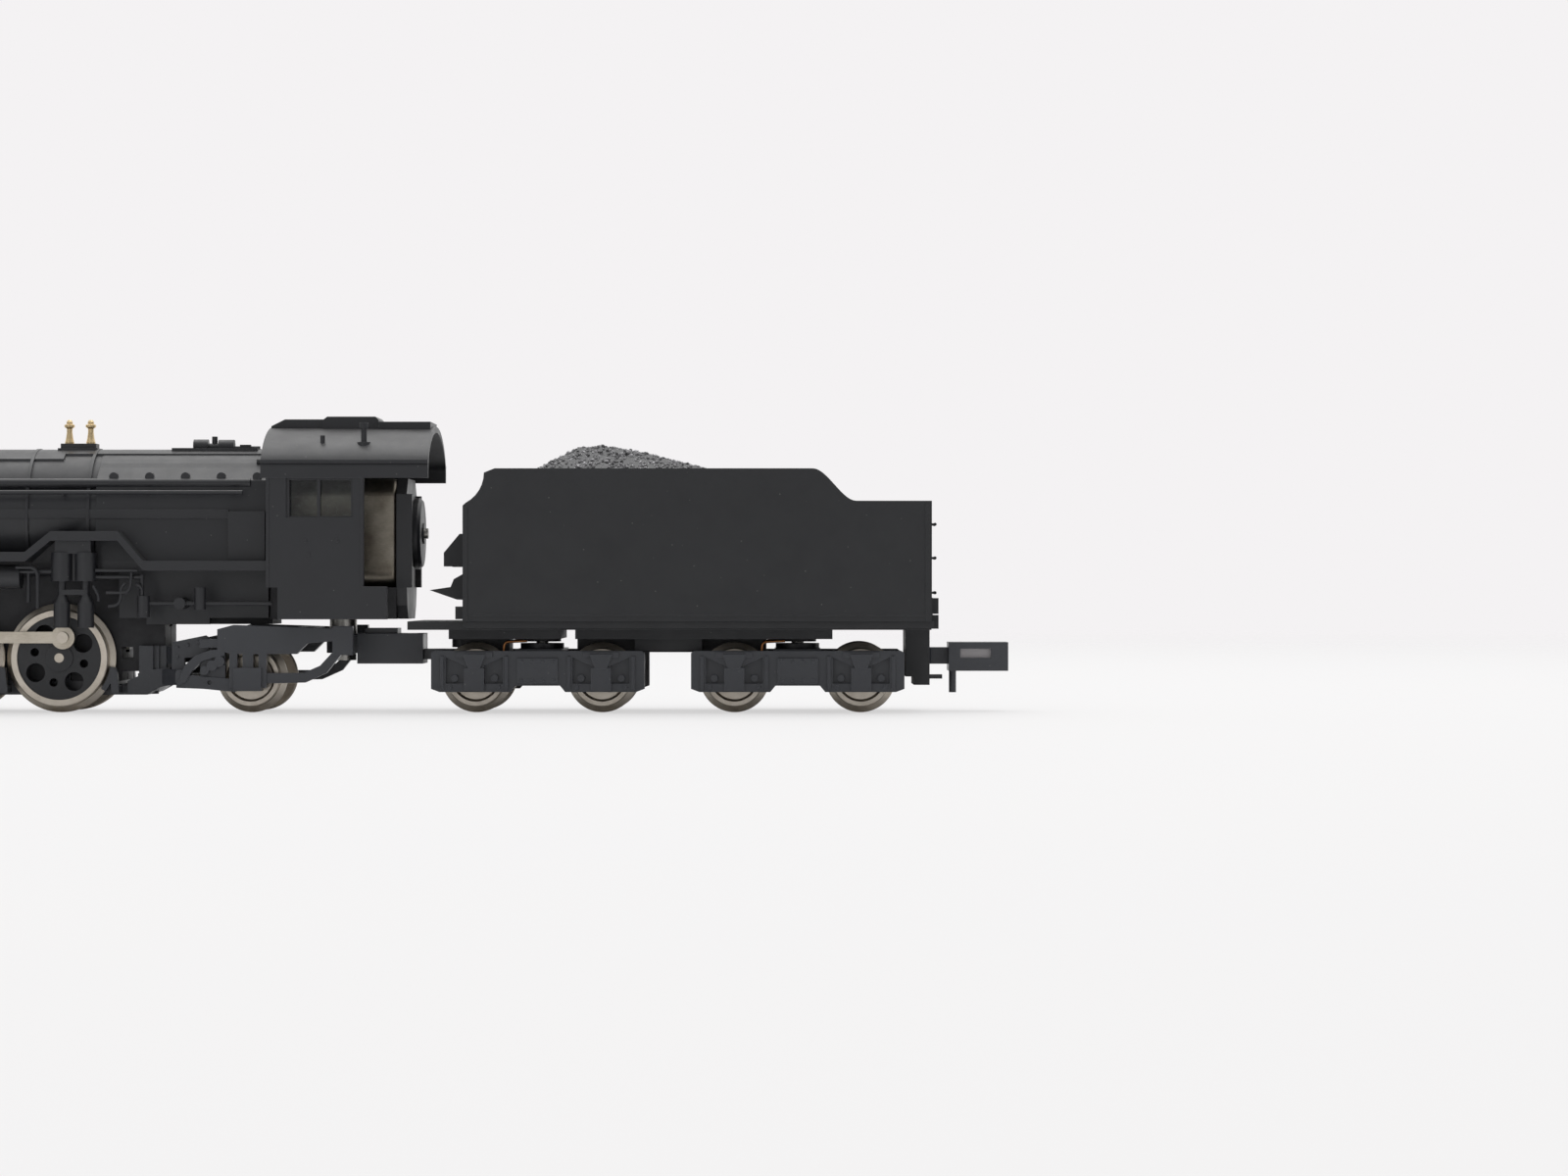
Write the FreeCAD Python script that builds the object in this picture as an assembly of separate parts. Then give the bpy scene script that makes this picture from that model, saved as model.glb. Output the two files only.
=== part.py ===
import FreeCAD, Part
import math
import os

# A 9 mm gauge model of a 2-8-2 tender locomotive, in millimetres.
# The engine points along -X and its left side faces -Y. Z = 0 is the bottom of the wheel flanges.
# While drawing, x = 0 is the rearmost coupled axle; at the end everything moves so that the
# whole model is centred on x = 0.

# ---------------------------------------------------------------- wheels and track
BACK_TO_BACK = 7.4
WHEEL_WIDTH = 1.7
FLANGE_WIDTH = 0.5
FLANGE_HEIGHT = 0.55
DRIVER_TREAD_R = 4.65
DRIVER_TYRE_WALL = 0.65
DRIVER_AXLE_R = 0.75
CRANK_R = 2.0
CRANK_ANGLE_LEFT = 77.0
CRANK_ANGLE_RIGHT = -13.0
CRANKPIN_R = 0.35
CARRIER_TREAD_R = 2.8
CARRIER_AXLE_R = 0.5
RUNNING_CLEARANCE = 0.05

# ---------------------------------------------------------------- lengthwise layout
COUPLED_PITCH = 10.6
LEADING_AXLE_LEAD = 15.3
TRAILING_AXLE_BEHIND = 18.2
SMOKEBOX_OVERHANG = 3.4
BEAM_OVERHANG = 8.0
FIREBOX_FRONT_X = 3.7
CAB_FRONT_X = 20.2
CAB_SIDE_LENGTH = 9.2
ROOF_LENGTH = 15.75
MOTOR_LENGTH = 10.0
DRAWBAR_LENGTH = 11.6
TENDER_LENGTH = 44.1
TENDER_PIN_AHEAD = 0.7
TENDER_FRAME_LEAD = 5.3
FRONT_BOGIE_INSET = 6.9
REAR_BOGIE_INSET = 12.6
BOGIE_WHEELBASE = 12.0
COUPLER_REACH = 7.6

# ---------------------------------------------------------------- widths and heights
BOILER_R = 6.5
BOILER_Z = 18.5
SHELL_WALL = 0.8
CAB_WIDTH = 19.0
CAB_WALL = 0.7
CAB_FLOOR_Z = 8.9
CAB_SIDE_TOP_Z = 22.4
ROOF_TOP_Z = 27.35
BOARD_Z = 14.4
BOARD_THICK = 0.9
BOARD_HUMP = 2.8
BOARD_WIDTH = 18.4
CHASSIS_HALF_GAP = 0.2
CHASSIS_LOWER_HALF = 3.3
KEEPER_Z = 1.65
MOTOR_R = 5.2
MOTOR_HALF_WIDTH = 4.7
MOTOR_CORNER_R = 1.7
SHAFT_Z = 17.1
SHAFT_R = 0.5
TENDER_WIDTH = 19.0
TENDER_WALL = 0.8
TENDER_TOP_Z = 23.1
TENDER_REAR_TOP_Z = 20.05
TENDER_FRAME_Z = 7.9
TENDER_FRAME_THICK = 0.8
COUPLER_Z = 5.3

# ---------------------------------------------------------------- gears
GEAR_MODULE = 0.35
AXLE_GEAR_TEETH = 18
IDLER_TEETH = 26
GEAR_WIDTH = 1.6
WORM_R = 1.45
WORM_LENGTH = 7.0
WORM_CLEARANCE = 0.08

# ---------------------------------------------------------------- motion
ROD_THICK = 0.4
COUPLING_ROD_HEIGHT = 1.1
ROD_BOSS_R = 1.12
MAIN_ROD_LENGTH = 26.0
CYLINDER_R = 2.0
CYLINDER_LENGTH = 8.0
CYLINDER_SPREAD = 8.3
SLIDE_BAR_LENGTH = 10.0

# ---------------------------------------------------------------- worked-out places
DRIVER_FLANGE_R = DRIVER_TREAD_R + FLANGE_HEIGHT
CARRIER_FLANGE_R = CARRIER_TREAD_R + FLANGE_HEIGHT
WHEEL_IN_Y = BACK_TO_BACK / 2
WHEEL_OUT_Y = WHEEL_IN_Y + WHEEL_WIDTH
DRIVER_Z = DRIVER_FLANGE_R
CARRIER_Z = CARRIER_FLANGE_R
DRIVER_X = [(number - 4) * COUPLED_PITCH for number in (1, 2, 3, 4)]
LEADING_X = DRIVER_X[0] - LEADING_AXLE_LEAD
TRAILING_X = TRAILING_AXLE_BEHIND
SMOKEBOX_X = LEADING_X - SMOKEBOX_OVERHANG
BEAM_X = LEADING_X - BEAM_OVERHANG
CAB_REAR_X = CAB_FRONT_X + CAB_SIDE_LENGTH
ROOF_FRONT_X = CAB_FRONT_X - 0.5
ROOF_REAR_X = ROOF_FRONT_X + ROOF_LENGTH
BOILER_TOP_Z = BOILER_Z + BOILER_R
MOTOR_FRONT_X = CAB_FRONT_X + 1.8
MOTOR_REAR_X = MOTOR_FRONT_X + MOTOR_LENGTH
HOLDER_THICK = 1.0
DRAWBAR_FRONT_X = CAB_REAR_X - 3.0
TENDER_PIN_X = DRAWBAR_FRONT_X + DRAWBAR_LENGTH
TENDER_X = TENDER_PIN_X + TENDER_PIN_AHEAD
TENDER_FRAME_X = TENDER_X - TENDER_FRAME_LEAD
TENDER_REAR_X = TENDER_X + TENDER_LENGTH
TENDER_FRAME_TOP_Z = TENDER_FRAME_Z + TENDER_FRAME_THICK
BOGIE_X = [TENDER_X + FRONT_BOGIE_INSET, TENDER_REAR_X - REAR_BOGIE_INSET]
REAR_END_X = TENDER_REAR_X + COUPLER_REACH
FRONT_END_X = BEAM_X - COUPLER_REACH + 1.6
CENTRE_SHIFT = -(FRONT_END_X + REAR_END_X) / 2

ROD_IN_Y = WHEEL_OUT_Y + 0.1
ROD_OUT_Y = ROD_IN_Y + ROD_THICK
PIN_HEAD_Y = ROD_OUT_Y + 0.25
MAIN_ROD_IN_Y = PIN_HEAD_Y + 0.15
MAIN_ROD_OUT_Y = MAIN_ROD_IN_Y + ROD_THICK
CRANK_ANGLE = {-1: CRANK_ANGLE_LEFT, 1: CRANK_ANGLE_RIGHT}
SIDE_NAME = {-1: "left", 1: "right"}

IDLER_PITCH_R = GEAR_MODULE * IDLER_TEETH / 2
AXLE_GEAR_PITCH_R = GEAR_MODULE * AXLE_GEAR_TEETH / 2
GEAR_ADDENDUM = 0.8 * GEAR_MODULE
IDLER_Z = SHAFT_Z - WORM_R - WORM_CLEARANCE - IDLER_PITCH_R - GEAR_ADDENDUM
IDLER_X = math.sqrt((IDLER_PITCH_R + AXLE_GEAR_PITCH_R) ** 2 - (IDLER_Z - DRIVER_Z) ** 2)


# ---------------------------------------------------------------- drawing helpers
def box(x0, x1, y0, y1, z0, z1):
    """A block between two corners, given as low and high values on each axis."""
    return Part.makeBox(x1 - x0, y1 - y0, z1 - z0, FreeCAD.Vector(x0, y0, z0))


def side_box(x0, x1, inner, outer, z0, z1, side):
    """A block on one side of the model; inner and outer are distances from the centre plane."""
    low, high = sorted((side * inner, side * outer))
    return box(x0, x1, low, high, z0, z1)


def rod_x(x0, x1, y, z, radius):
    return Part.makeCylinder(radius, x1 - x0, FreeCAD.Vector(x0, y, z), FreeCAD.Vector(1, 0, 0))


def rod_y(x, z, y0, y1, radius):
    low, high = sorted((y0, y1))
    return Part.makeCylinder(radius, high - low, FreeCAD.Vector(x, low, z), FreeCAD.Vector(0, 1, 0))


def rod_z(x, y, z0, z1, radius):
    return Part.makeCylinder(radius, z1 - z0, FreeCAD.Vector(x, y, z0), FreeCAD.Vector(0, 0, 1))


def plate_xz(points, y0, y1):
    """A side-view outline, made thick from y0 to y1."""
    low, high = sorted((y0, y1))
    corners = [FreeCAD.Vector(x, low, z) for x, z in points]
    face = Part.Face(Part.makePolygon(corners + corners[:1]))
    return face.extrude(FreeCAD.Vector(0, high - low, 0))


def plate_yz(points, x0, x1):
    """An end-view outline, made long from x0 to x1."""
    corners = [FreeCAD.Vector(x0, y, z) for y, z in points]
    face = Part.Face(Part.makePolygon(corners + corners[:1]))
    return face.extrude(FreeCAD.Vector(x1 - x0, 0, 0))


def smooth_yz(curve_points, foot_points, x0, x1):
    """An end-view outline with one smooth curve, closed by straight lines through foot_points."""
    curve = Part.BSplineCurve()
    curve.interpolate([FreeCAD.Vector(x0, y, z) for y, z in curve_points])
    edges = [curve.toShape()]
    corners = [curve_points[-1]] + foot_points + [curve_points[0]]
    for (ya, za), (yb, zb) in zip(corners, corners[1:]):
        edges.append(Part.makeLine(FreeCAD.Vector(x0, ya, za), FreeCAD.Vector(x0, yb, zb)))
    return Part.Face(Part.Wire(edges)).extrude(FreeCAD.Vector(x1 - x0, 0, 0))


def plate_xy(points, z0, z1):
    """A plan outline, made high from z0 to z1."""
    corners = [FreeCAD.Vector(x, y, z0) for x, y in points]
    face = Part.Face(Part.makePolygon(corners + corners[:1]))
    return face.extrude(FreeCAD.Vector(0, 0, z1 - z0))


def turned_y(profile, x, z, side):
    """A turned piece about a crosswise axis. profile is (radius, distance from centre plane)."""
    corners = [FreeCAD.Vector(x + radius, side * y, z) for radius, y in profile]
    face = Part.Face(Part.makePolygon(corners + corners[:1]))
    return face.revolve(FreeCAD.Vector(x, 0, z), FreeCAD.Vector(0, 1, 0), 360)


def turned_z(profile, x, y):
    """A turned piece about an upright axis. profile is (radius, height)."""
    corners = [FreeCAD.Vector(x + radius, y, z) for radius, z in profile]
    face = Part.Face(Part.makePolygon(corners + corners[:1]))
    return face.revolve(FreeCAD.Vector(x, y, 0), FreeCAD.Vector(0, 0, 1), 360)


def join(pieces):
    """One solid from pieces that overlap or share faces."""
    whole = pieces[0]
    for piece in pieces[1:]:
        whole = whole.fuse(piece)
    return whole.removeSplitter()


def take(body, cutters):
    for cutter in cutters:
        body = body.cut(cutter)
    return body


def both(make):
    """The left and right copies of a piece."""
    return [make(side) for side in (-1, 1)]


def arc_points(cx, cz, radius, start, end, steps):
    """Points on an arc, in degrees from the first axis towards the second."""
    angles = [math.radians(start + (end - start) * i / steps) for i in range(steps + 1)]
    return [(cx + radius * math.cos(a), cz + radius * math.sin(a)) for a in angles]


def crank_offset(side):
    angle = math.radians(CRANK_ANGLE[side])
    return CRANK_R * math.cos(angle), CRANK_R * math.sin(angle)


# ---------------------------------------------------------------- coupled wheels
def driver_tyre(x, side):
    """Nickel tyre: flange inside, plain tread outside."""
    inner = DRIVER_TREAD_R - DRIVER_TYRE_WALL
    profile = [
        (inner, WHEEL_IN_Y),
        (DRIVER_FLANGE_R - 0.15, WHEEL_IN_Y),
        (DRIVER_FLANGE_R, WHEEL_IN_Y + 0.15),
        (DRIVER_FLANGE_R, WHEEL_IN_Y + FLANGE_WIDTH - 0.15),
        (DRIVER_TREAD_R, WHEEL_IN_Y + FLANGE_WIDTH + 0.1),
        (DRIVER_TREAD_R, WHEEL_OUT_Y - 0.1),
        (DRIVER_TREAD_R - 0.1, WHEEL_OUT_Y),
        (inner, WHEEL_OUT_Y),
    ]
    return turned_y(profile, x, DRIVER_Z, side)


CENTRE_DEPTH = 1.2
CENTRE_RECESS = 0.15
BIG_HOLE_R = 0.9
BIG_HOLE_AT = 2.65
SMALL_HOLE_R = 0.4
SMALL_HOLE_AT = 2.4
CRANK_BOSS_R = 0.8
AXLE_END_R = 0.45
HUB_R = 1.3


def driver_centre(x, side):
    """Moulded box-spoke centre: holes laid out about the crank, with a boss for its pin."""
    outer = WHEEL_OUT_Y - CENTRE_RECESS
    inner = outer - CENTRE_DEPTH
    disc = rod_y(x, DRIVER_Z, side * inner, side * outer, DRIVER_TREAD_R - DRIVER_TYRE_WALL)
    hub = rod_y(x, DRIVER_Z, side * inner, side * WHEEL_OUT_Y, HUB_R)
    dx, dz = crank_offset(side)
    boss = rod_y(x + dx, DRIVER_Z + dz, side * inner, side * WHEEL_OUT_Y, CRANK_BOSS_R)
    holes = [(45, BIG_HOLE_AT, BIG_HOLE_R), (-45, BIG_HOLE_AT, BIG_HOLE_R)]
    holes += [(135, BIG_HOLE_AT, BIG_HOLE_R), (-135, BIG_HOLE_AT, BIG_HOLE_R)]
    holes += [(90, SMALL_HOLE_AT, SMALL_HOLE_R), (-90, SMALL_HOLE_AT, SMALL_HOLE_R)]
    holes += [(180, SMALL_HOLE_AT, SMALL_HOLE_R)]
    cutters = []
    for turn, at, radius in holes:
        angle = math.radians(CRANK_ANGLE[side] + turn)
        cx = x + at * math.cos(angle)
        cz = DRIVER_Z + at * math.sin(angle)
        cutters.append(rod_y(cx, cz, side * (inner - 1), side * (outer + 1), radius))
    disc = take(disc, cutters)
    bores = [rod_y(x, DRIVER_Z, side * (inner - 1), side * (WHEEL_OUT_Y + 1), AXLE_END_R)]
    bores.append(rod_y(x + dx, DRIVER_Z + dz, side * (inner - 1), side * (WHEEL_OUT_Y + 1), CRANKPIN_R))
    return take(join([disc, hub, boss]), bores)


def crankpin(x, side, headed):
    """Pin pressed in the wheel centre, with a small head outside the coupling rod."""
    dx, dz = crank_offset(side)
    inner = WHEEL_OUT_Y - CENTRE_RECESS - CENTRE_DEPTH
    pin = rod_y(x + dx, DRIVER_Z + dz, side * inner, side * (ROD_OUT_Y + 0.05), CRANKPIN_R)
    if headed:
        head = rod_y(x + dx, DRIVER_Z + dz, side * (ROD_OUT_Y + 0.05), side * PIN_HEAD_Y, 0.55)
        pin = join([pin, head])
    return pin


def driver_wheelset(number):
    """Two tyres, the axle through them and a crankpin on each side."""
    x = DRIVER_X[number - 1]
    pieces = both(lambda side: driver_tyre(x, side))
    step = WHEEL_OUT_Y - CENTRE_RECESS - CENTRE_DEPTH
    axle = rod_y(x, DRIVER_Z, -step, step, DRIVER_AXLE_R)
    ends = rod_y(x, DRIVER_Z, -WHEEL_OUT_Y, WHEEL_OUT_Y, AXLE_END_R)
    pieces.append(join([axle, ends]))
    pieces += both(lambda side: crankpin(x, side, number != 3))
    return Part.makeCompound(pieces)


def driver_centres(number):
    return Part.makeCompound(both(lambda side: driver_centre(DRIVER_X[number - 1], side)))


# ---------------------------------------------------------------- carrying wheels
def carrier_wheel(x, side):
    """Small turned wheel with a dished face."""
    face_y = WHEEL_OUT_Y
    profile = [
        (CARRIER_AXLE_R, WHEEL_IN_Y),
        (CARRIER_FLANGE_R - 0.15, WHEEL_IN_Y),
        (CARRIER_FLANGE_R, WHEEL_IN_Y + 0.15),
        (CARRIER_FLANGE_R, WHEEL_IN_Y + FLANGE_WIDTH - 0.15),
        (CARRIER_TREAD_R, WHEEL_IN_Y + FLANGE_WIDTH + 0.1),
        (CARRIER_TREAD_R, face_y - 0.1),
        (CARRIER_TREAD_R - 0.1, face_y),
        (CARRIER_TREAD_R - 0.5, face_y),
        (CARRIER_TREAD_R - 0.7, face_y - 0.35),
        (CARRIER_AXLE_R + 0.5, face_y - 0.35),
        (CARRIER_AXLE_R + 0.4, face_y - 0.1),
        (CARRIER_AXLE_R, face_y - 0.1),
    ]
    return turned_y(profile, x, CARRIER_Z, side)


JOURNAL_R = 0.3


def carrier_wheelset(x, journal_y):
    """Two wheels on one axle, whose thin ends run in the frames at journal_y."""
    axle = rod_y(x, CARRIER_Z, -WHEEL_OUT_Y, WHEEL_OUT_Y, CARRIER_AXLE_R)
    if journal_y > WHEEL_OUT_Y:
        axle = join([axle, rod_y(x, CARRIER_Z, -journal_y, journal_y, JOURNAL_R)])
    return Part.makeCompound(both(lambda side: carrier_wheel(x, side)) + [axle])


# ---------------------------------------------------------------- rods
def coupling_rod(side):
    """One rod over all four crankpins, with an eye at each."""
    dx, dz = crank_offset(side)
    z = DRIVER_Z + dz
    y0, y1 = side * ROD_IN_Y, side * ROD_OUT_Y
    half = COUPLING_ROD_HEIGHT / 2
    low, high = sorted((y0, y1))
    pieces = [box(DRIVER_X[0] + dx, DRIVER_X[3] + dx, low, high, z - half, z + half)]
    pieces += [rod_y(x + dx, z, y0, y1, ROD_BOSS_R) for x in DRIVER_X]
    eyes = [rod_y(x + dx, z, y0 * 0.9, y1 * 1.1, CRANKPIN_R + RUNNING_CLEARANCE) for x in DRIVER_X]
    return take(join(pieces), eyes)


def crosshead_place(side):
    """Where the main rod's small end sits when its big end is on the third crankpin."""
    dx, dz = crank_offset(side)
    return DRIVER_X[2] + dx - math.sqrt(MAIN_ROD_LENGTH ** 2 - dz ** 2), DRIVER_Z


SMALL_END_R = 0.75
BIG_END_R = 1.15
WRIST_PIN_R = 0.3


def main_rod(side):
    """Tapered rod from the crosshead to the third crankpin, its big end open at the back."""
    dx, dz = crank_offset(side)
    big_x, big_z = DRIVER_X[2] + dx, DRIVER_Z + dz
    small_x, small_z = crosshead_place(side)
    y0, y1 = side * MAIN_ROD_IN_Y, side * MAIN_ROD_OUT_Y
    lift = [(small_x, small_z + 0.4), (small_x, small_z - 0.4)]
    lift += [(big_x, big_z - 0.6), (big_x, big_z + 0.6)]
    rod = plate_xz(lift, y0, y1)
    big = rod_y(big_x, big_z, side * (ROD_OUT_Y + 0.12), y1, BIG_END_R)
    small = rod_y(small_x, small_z, y0, y1, SMALL_END_R)
    eye = rod_y(small_x, small_z, y0 * 0.9, y1 * 1.1, WRIST_PIN_R + RUNNING_CLEARANCE)
    return take(join([rod, big, small]), [eye])


CROSSHEAD_LENGTH = 2.2
CROSSHEAD_HEIGHT = 1.9
CROSSHEAD_OUT_Y = MAIN_ROD_OUT_Y + 0.8
PISTON_ROD_R = 0.3
PISTON_ROD_LENGTH = 8.2


def crosshead(side):
    """Slipper with the wrist pin towards the wheels and the piston rod forward."""
    x, z = crosshead_place(side)
    half = CROSSHEAD_LENGTH / 2
    y_in, y_out = MAIN_ROD_OUT_Y + 0.1, CROSSHEAD_OUT_Y
    slipper = side_box(x - half, x + half, y_in, y_out, z - CROSSHEAD_HEIGHT / 2, z + CROSSHEAD_HEIGHT / 2,
                       side)
    pin = rod_y(x, z, side * (MAIN_ROD_IN_Y - 0.05), side * y_out, WRIST_PIN_R)
    piston = rod_x(x - PISTON_ROD_LENGTH, x, side * (y_in + y_out) / 2, z, PISTON_ROD_R)
    return join([slipper, pin, piston])


# ---------------------------------------------------------------- cylinders and valve gear
def cylinder_mid_y():
    return (MAIN_ROD_OUT_Y + 0.1 + CROSSHEAD_OUT_Y) / 2


def cylinder(side):
    """Piston cylinder with its steam chest above, bored for the piston rod."""
    x0 = LEADING_X - CYLINDER_LENGTH / 2
    x1 = LEADING_X + CYLINDER_LENGTH / 2
    y = side * CYLINDER_SPREAD
    barrel = rod_x(x0, x1, y, DRIVER_Z + 0.2, CYLINDER_R)
    covers = [rod_x(x0 - 0.3, x0 + 0.6, y, DRIVER_Z + 0.2, CYLINDER_R + 0.15)]
    covers.append(rod_x(x1 - 0.6, x1 + 0.3, y, DRIVER_Z + 0.2, CYLINDER_R + 0.15))
    chest = rod_x(x0 + 0.2, x1 - 0.2, y - side * 0.3, DRIVER_Z + 3.6, 1.35)
    chest_ends = rod_x(x0 - 0.6, x1 + 0.9, y - side * 0.3, DRIVER_Z + 3.6, 0.75)
    web = side_box(x0 + 0.6, x1 - 0.6, CYLINDER_SPREAD - 1.6, CYLINDER_SPREAD + 1.0,
                   DRIVER_Z + 1.5, DRIVER_Z + 3.6, side)
    foot = side_box(x0 + 0.6, x1 - 0.6, SADDLE_HALF - 0.3, CYLINDER_SPREAD, SADDLE_Z, SADDLE_Z + 3.4, side)
    return join([barrel] + covers + [chest, chest_ends, web, foot])


SADDLE_HALF = 5.6
SADDLE_Z = 7.3


def cylinder_block():
    """Both cylinders on one saddle that carries the smokebox."""
    x0 = LEADING_X - CYLINDER_LENGTH / 2
    x1 = LEADING_X + CYLINDER_LENGTH / 2
    saddle = box(x0, x1, -SADDLE_HALF, SADDLE_HALF, SADDLE_Z, BOILER_Z - BOILER_R + 1.4)
    block = join([saddle] + both(cylinder))
    smokebox = rod_x(x0 - 1, x1 + 1, 0, BOILER_Z, BOILER_R)
    bores = [rod_x(x1 - 7.0, x1 + 1, side * cylinder_mid_y(), DRIVER_Z,
                   PISTON_ROD_R + 0.12) for side in (-1, 1)]
    return take(block, [smokebox] + bores)


def valve_gear_side(side):
    """Slide bars, hanger bracket, expansion link and valve rod, as one fixed pressing."""
    rear = LEADING_X + CYLINDER_LENGTH / 2 + 0.3
    end = rear + SLIDE_BAR_LENGTH
    y_in, y_out = MAIN_ROD_OUT_Y + 0.15, CROSSHEAD_OUT_Y + 0.1
    bar_gap = CROSSHEAD_HEIGHT / 2 + 0.12
    upper = side_box(rear, end, y_in, y_out + 0.3, DRIVER_Z + bar_gap, DRIVER_Z + bar_gap + 0.5, side)
    lower = side_box(rear, end, y_in, y_out + 0.3, DRIVER_Z - bar_gap - 0.5, DRIVER_Z - bar_gap, side)
    bracket = side_box(end - 0.9, end, y_out - 0.02, y_out + 0.6, DRIVER_Z - bar_gap - 0.5,
                       BOARD_Z - BOARD_THICK, side)
    top_arm = side_box(end - 0.9, end, SADDLE_HALF - 1.0, y_out + 0.6, BOARD_Z - BOARD_THICK - 1.2,
                       BOARD_Z - BOARD_THICK, side)
    rod_level = DRIVER_Z + 3.6
    valve_rod = side_box(rear + 0.7, end, y_out, y_out + 0.4, rod_level - 0.35, rod_level + 0.35, side)
    link = plate_xz(
        [(end, rod_level - 1.9), (end + 0.9, rod_level - 1.5), (end + 1.1, rod_level),
         (end + 0.9, rod_level + 1.9), (end, rod_level + 2.2), (end + 0.3, rod_level)],
        side * y_out, side * (y_out + 0.5))
    lever = side_box(rear + 0.9, rear + 1.6, y_out, y_out + 0.4, DRIVER_Z - 0.4, rod_level + 0.3, side)
    return join([upper, lower, bracket, top_arm, valve_rod, link, lever])


def valve_gear():
    return Part.makeCompound(both(valve_gear_side))


# ---------------------------------------------------------------- gears and motor
def gear_wheel(x, z, teeth, width, phase):
    """Straight-toothed wheel whose teeth are a little narrow, so that a pair turns freely."""
    pitch_r = GEAR_MODULE * teeth / 2
    tip_r = pitch_r + GEAR_ADDENDUM
    root_r = pitch_r - 1.2 * GEAR_MODULE
    step = 360.0 / teeth
    points = []
    for tooth in range(teeth):
        middle = phase + tooth * step
        for offset, radius in ((-0.26, root_r), (-0.10, tip_r), (0.10, tip_r), (0.26, root_r)):
            angle = math.radians(middle + offset * step)
            points.append((x + radius * math.cos(angle), z + radius * math.sin(angle)))
    return plate_xz(points, -width / 2, width / 2)


IDLER_SHAFT_R = 0.6
IDLER_SHAFT_HALF = 2.6
MESH_ANGLE = math.degrees(math.atan2(IDLER_Z - DRIVER_Z, IDLER_X))


def idler_gear():
    """Wheel between the worm and the axle gear, with its own stub shaft."""
    step = 360.0 / IDLER_TEETH
    wheel = gear_wheel(IDLER_X, IDLER_Z, IDLER_TEETH, GEAR_WIDTH, MESH_ANGLE + 180 + step / 2)
    shaft = rod_y(IDLER_X, IDLER_Z, -IDLER_SHAFT_HALF, IDLER_SHAFT_HALF, IDLER_SHAFT_R)
    return join([wheel, shaft])


def axle_gear():
    wheel = gear_wheel(DRIVER_X[3], DRIVER_Z, AXLE_GEAR_TEETH, GEAR_WIDTH, MESH_ANGLE)
    return take(wheel, [rod_y(DRIVER_X[3], DRIVER_Z, -2, 2, DRIVER_AXLE_R)])


WORM_X = IDLER_X - WORM_LENGTH / 2
FLYWHEEL_R = 3.45
FLYWHEEL_THICK = 1.0
SHAFT_REAR_X = MOTOR_REAR_X + HOLDER_THICK + FLYWHEEL_THICK + 0.6
SHAFT_FRONT_X = WORM_X - 2.6


def worm():
    """Worm turned on the motor shaft; its thread is drawn as rings."""
    body = rod_x(WORM_X, WORM_X + WORM_LENGTH, 0, SHAFT_Z, WORM_R - 0.45)
    pitch = math.pi * GEAR_MODULE
    rings = []
    for turn in range(int((WORM_LENGTH - pitch) / pitch) + 1):
        x = WORM_X + pitch * (turn + 0.5)
        rings.append(rod_x(x - 0.25, x + 0.25, 0, SHAFT_Z, WORM_R))
    return take(join([body] + rings), [rod_x(WORM_X - 1, WORM_X + WORM_LENGTH + 1, 0, SHAFT_Z, SHAFT_R)])


def flywheel():
    """Black disc behind the motor holder, with both rims chamfered."""
    x0 = MOTOR_REAR_X + HOLDER_THICK + 0.1
    disc = rod_x(x0, x0 + FLYWHEEL_THICK, 0, SHAFT_Z, FLYWHEEL_R)
    disc = disc.makeChamfer(0.3, [edge for edge in disc.Edges if edge.BoundBox.YLength > FLYWHEEL_R
                                  and edge.BoundBox.XLength < 1e-6])
    hub = rod_x(x0, x0 + FLYWHEEL_THICK + 0.15, 0, SHAFT_Z, 1.0)
    return take(join([disc, hub]), [rod_x(x0 - 1, x0 + 3, 0, SHAFT_Z, SHAFT_R)])


def motor_section(x0, x1, shrink):
    """Square can with rounded corners."""
    half = MOTOR_HALF_WIDTH - shrink
    tall = MOTOR_R - shrink
    block = box(x0, x1, -half, half, SHAFT_Z - tall, SHAFT_Z + tall)
    long_edges = [edge for edge in block.Edges if abs(edge.BoundBox.XLength - (x1 - x0)) < 1e-6]
    return block.makeFillet(MOTOR_CORNER_R - shrink, long_edges)


def motor_can():
    """Steel can, closed behind but for the shaft hole."""
    outer = motor_section(MOTOR_FRONT_X, MOTOR_REAR_X, 0)
    rear_edges = [edge for edge in outer.Edges if abs(edge.BoundBox.XMin - MOTOR_REAR_X) < 1e-6]
    outer = outer.makeFillet(0.45, rear_edges)
    hollow = motor_section(MOTOR_FRONT_X - 1, MOTOR_REAR_X - 0.6, 0.5)
    return take(outer, [hollow, rod_x(MOTOR_FRONT_X, MOTOR_REAR_X + 1, 0, SHAFT_Z,
                                      SHAFT_R + RUNNING_CLEARANCE)])


def motor_end_cap():
    """Plastic brush holder that closes the front of the can."""
    plug = motor_section(MOTOR_FRONT_X, MOTOR_FRONT_X + 1.2, 0.5)
    plate = motor_section(MOTOR_FRONT_X - 1.0, MOTOR_FRONT_X, 0.1)
    brushes = [box(MOTOR_FRONT_X - 1.5, MOTOR_FRONT_X, y, y + 1.2, SHAFT_Z - 0.7,
                   SHAFT_Z + 0.7) for y in (-3.6, 2.4)]
    bore = rod_x(MOTOR_FRONT_X - 2, MOTOR_FRONT_X + 2, 0, SHAFT_Z, SHAFT_R + RUNNING_CLEARANCE)
    return take(join([plug, plate] + brushes), [bore])


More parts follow.
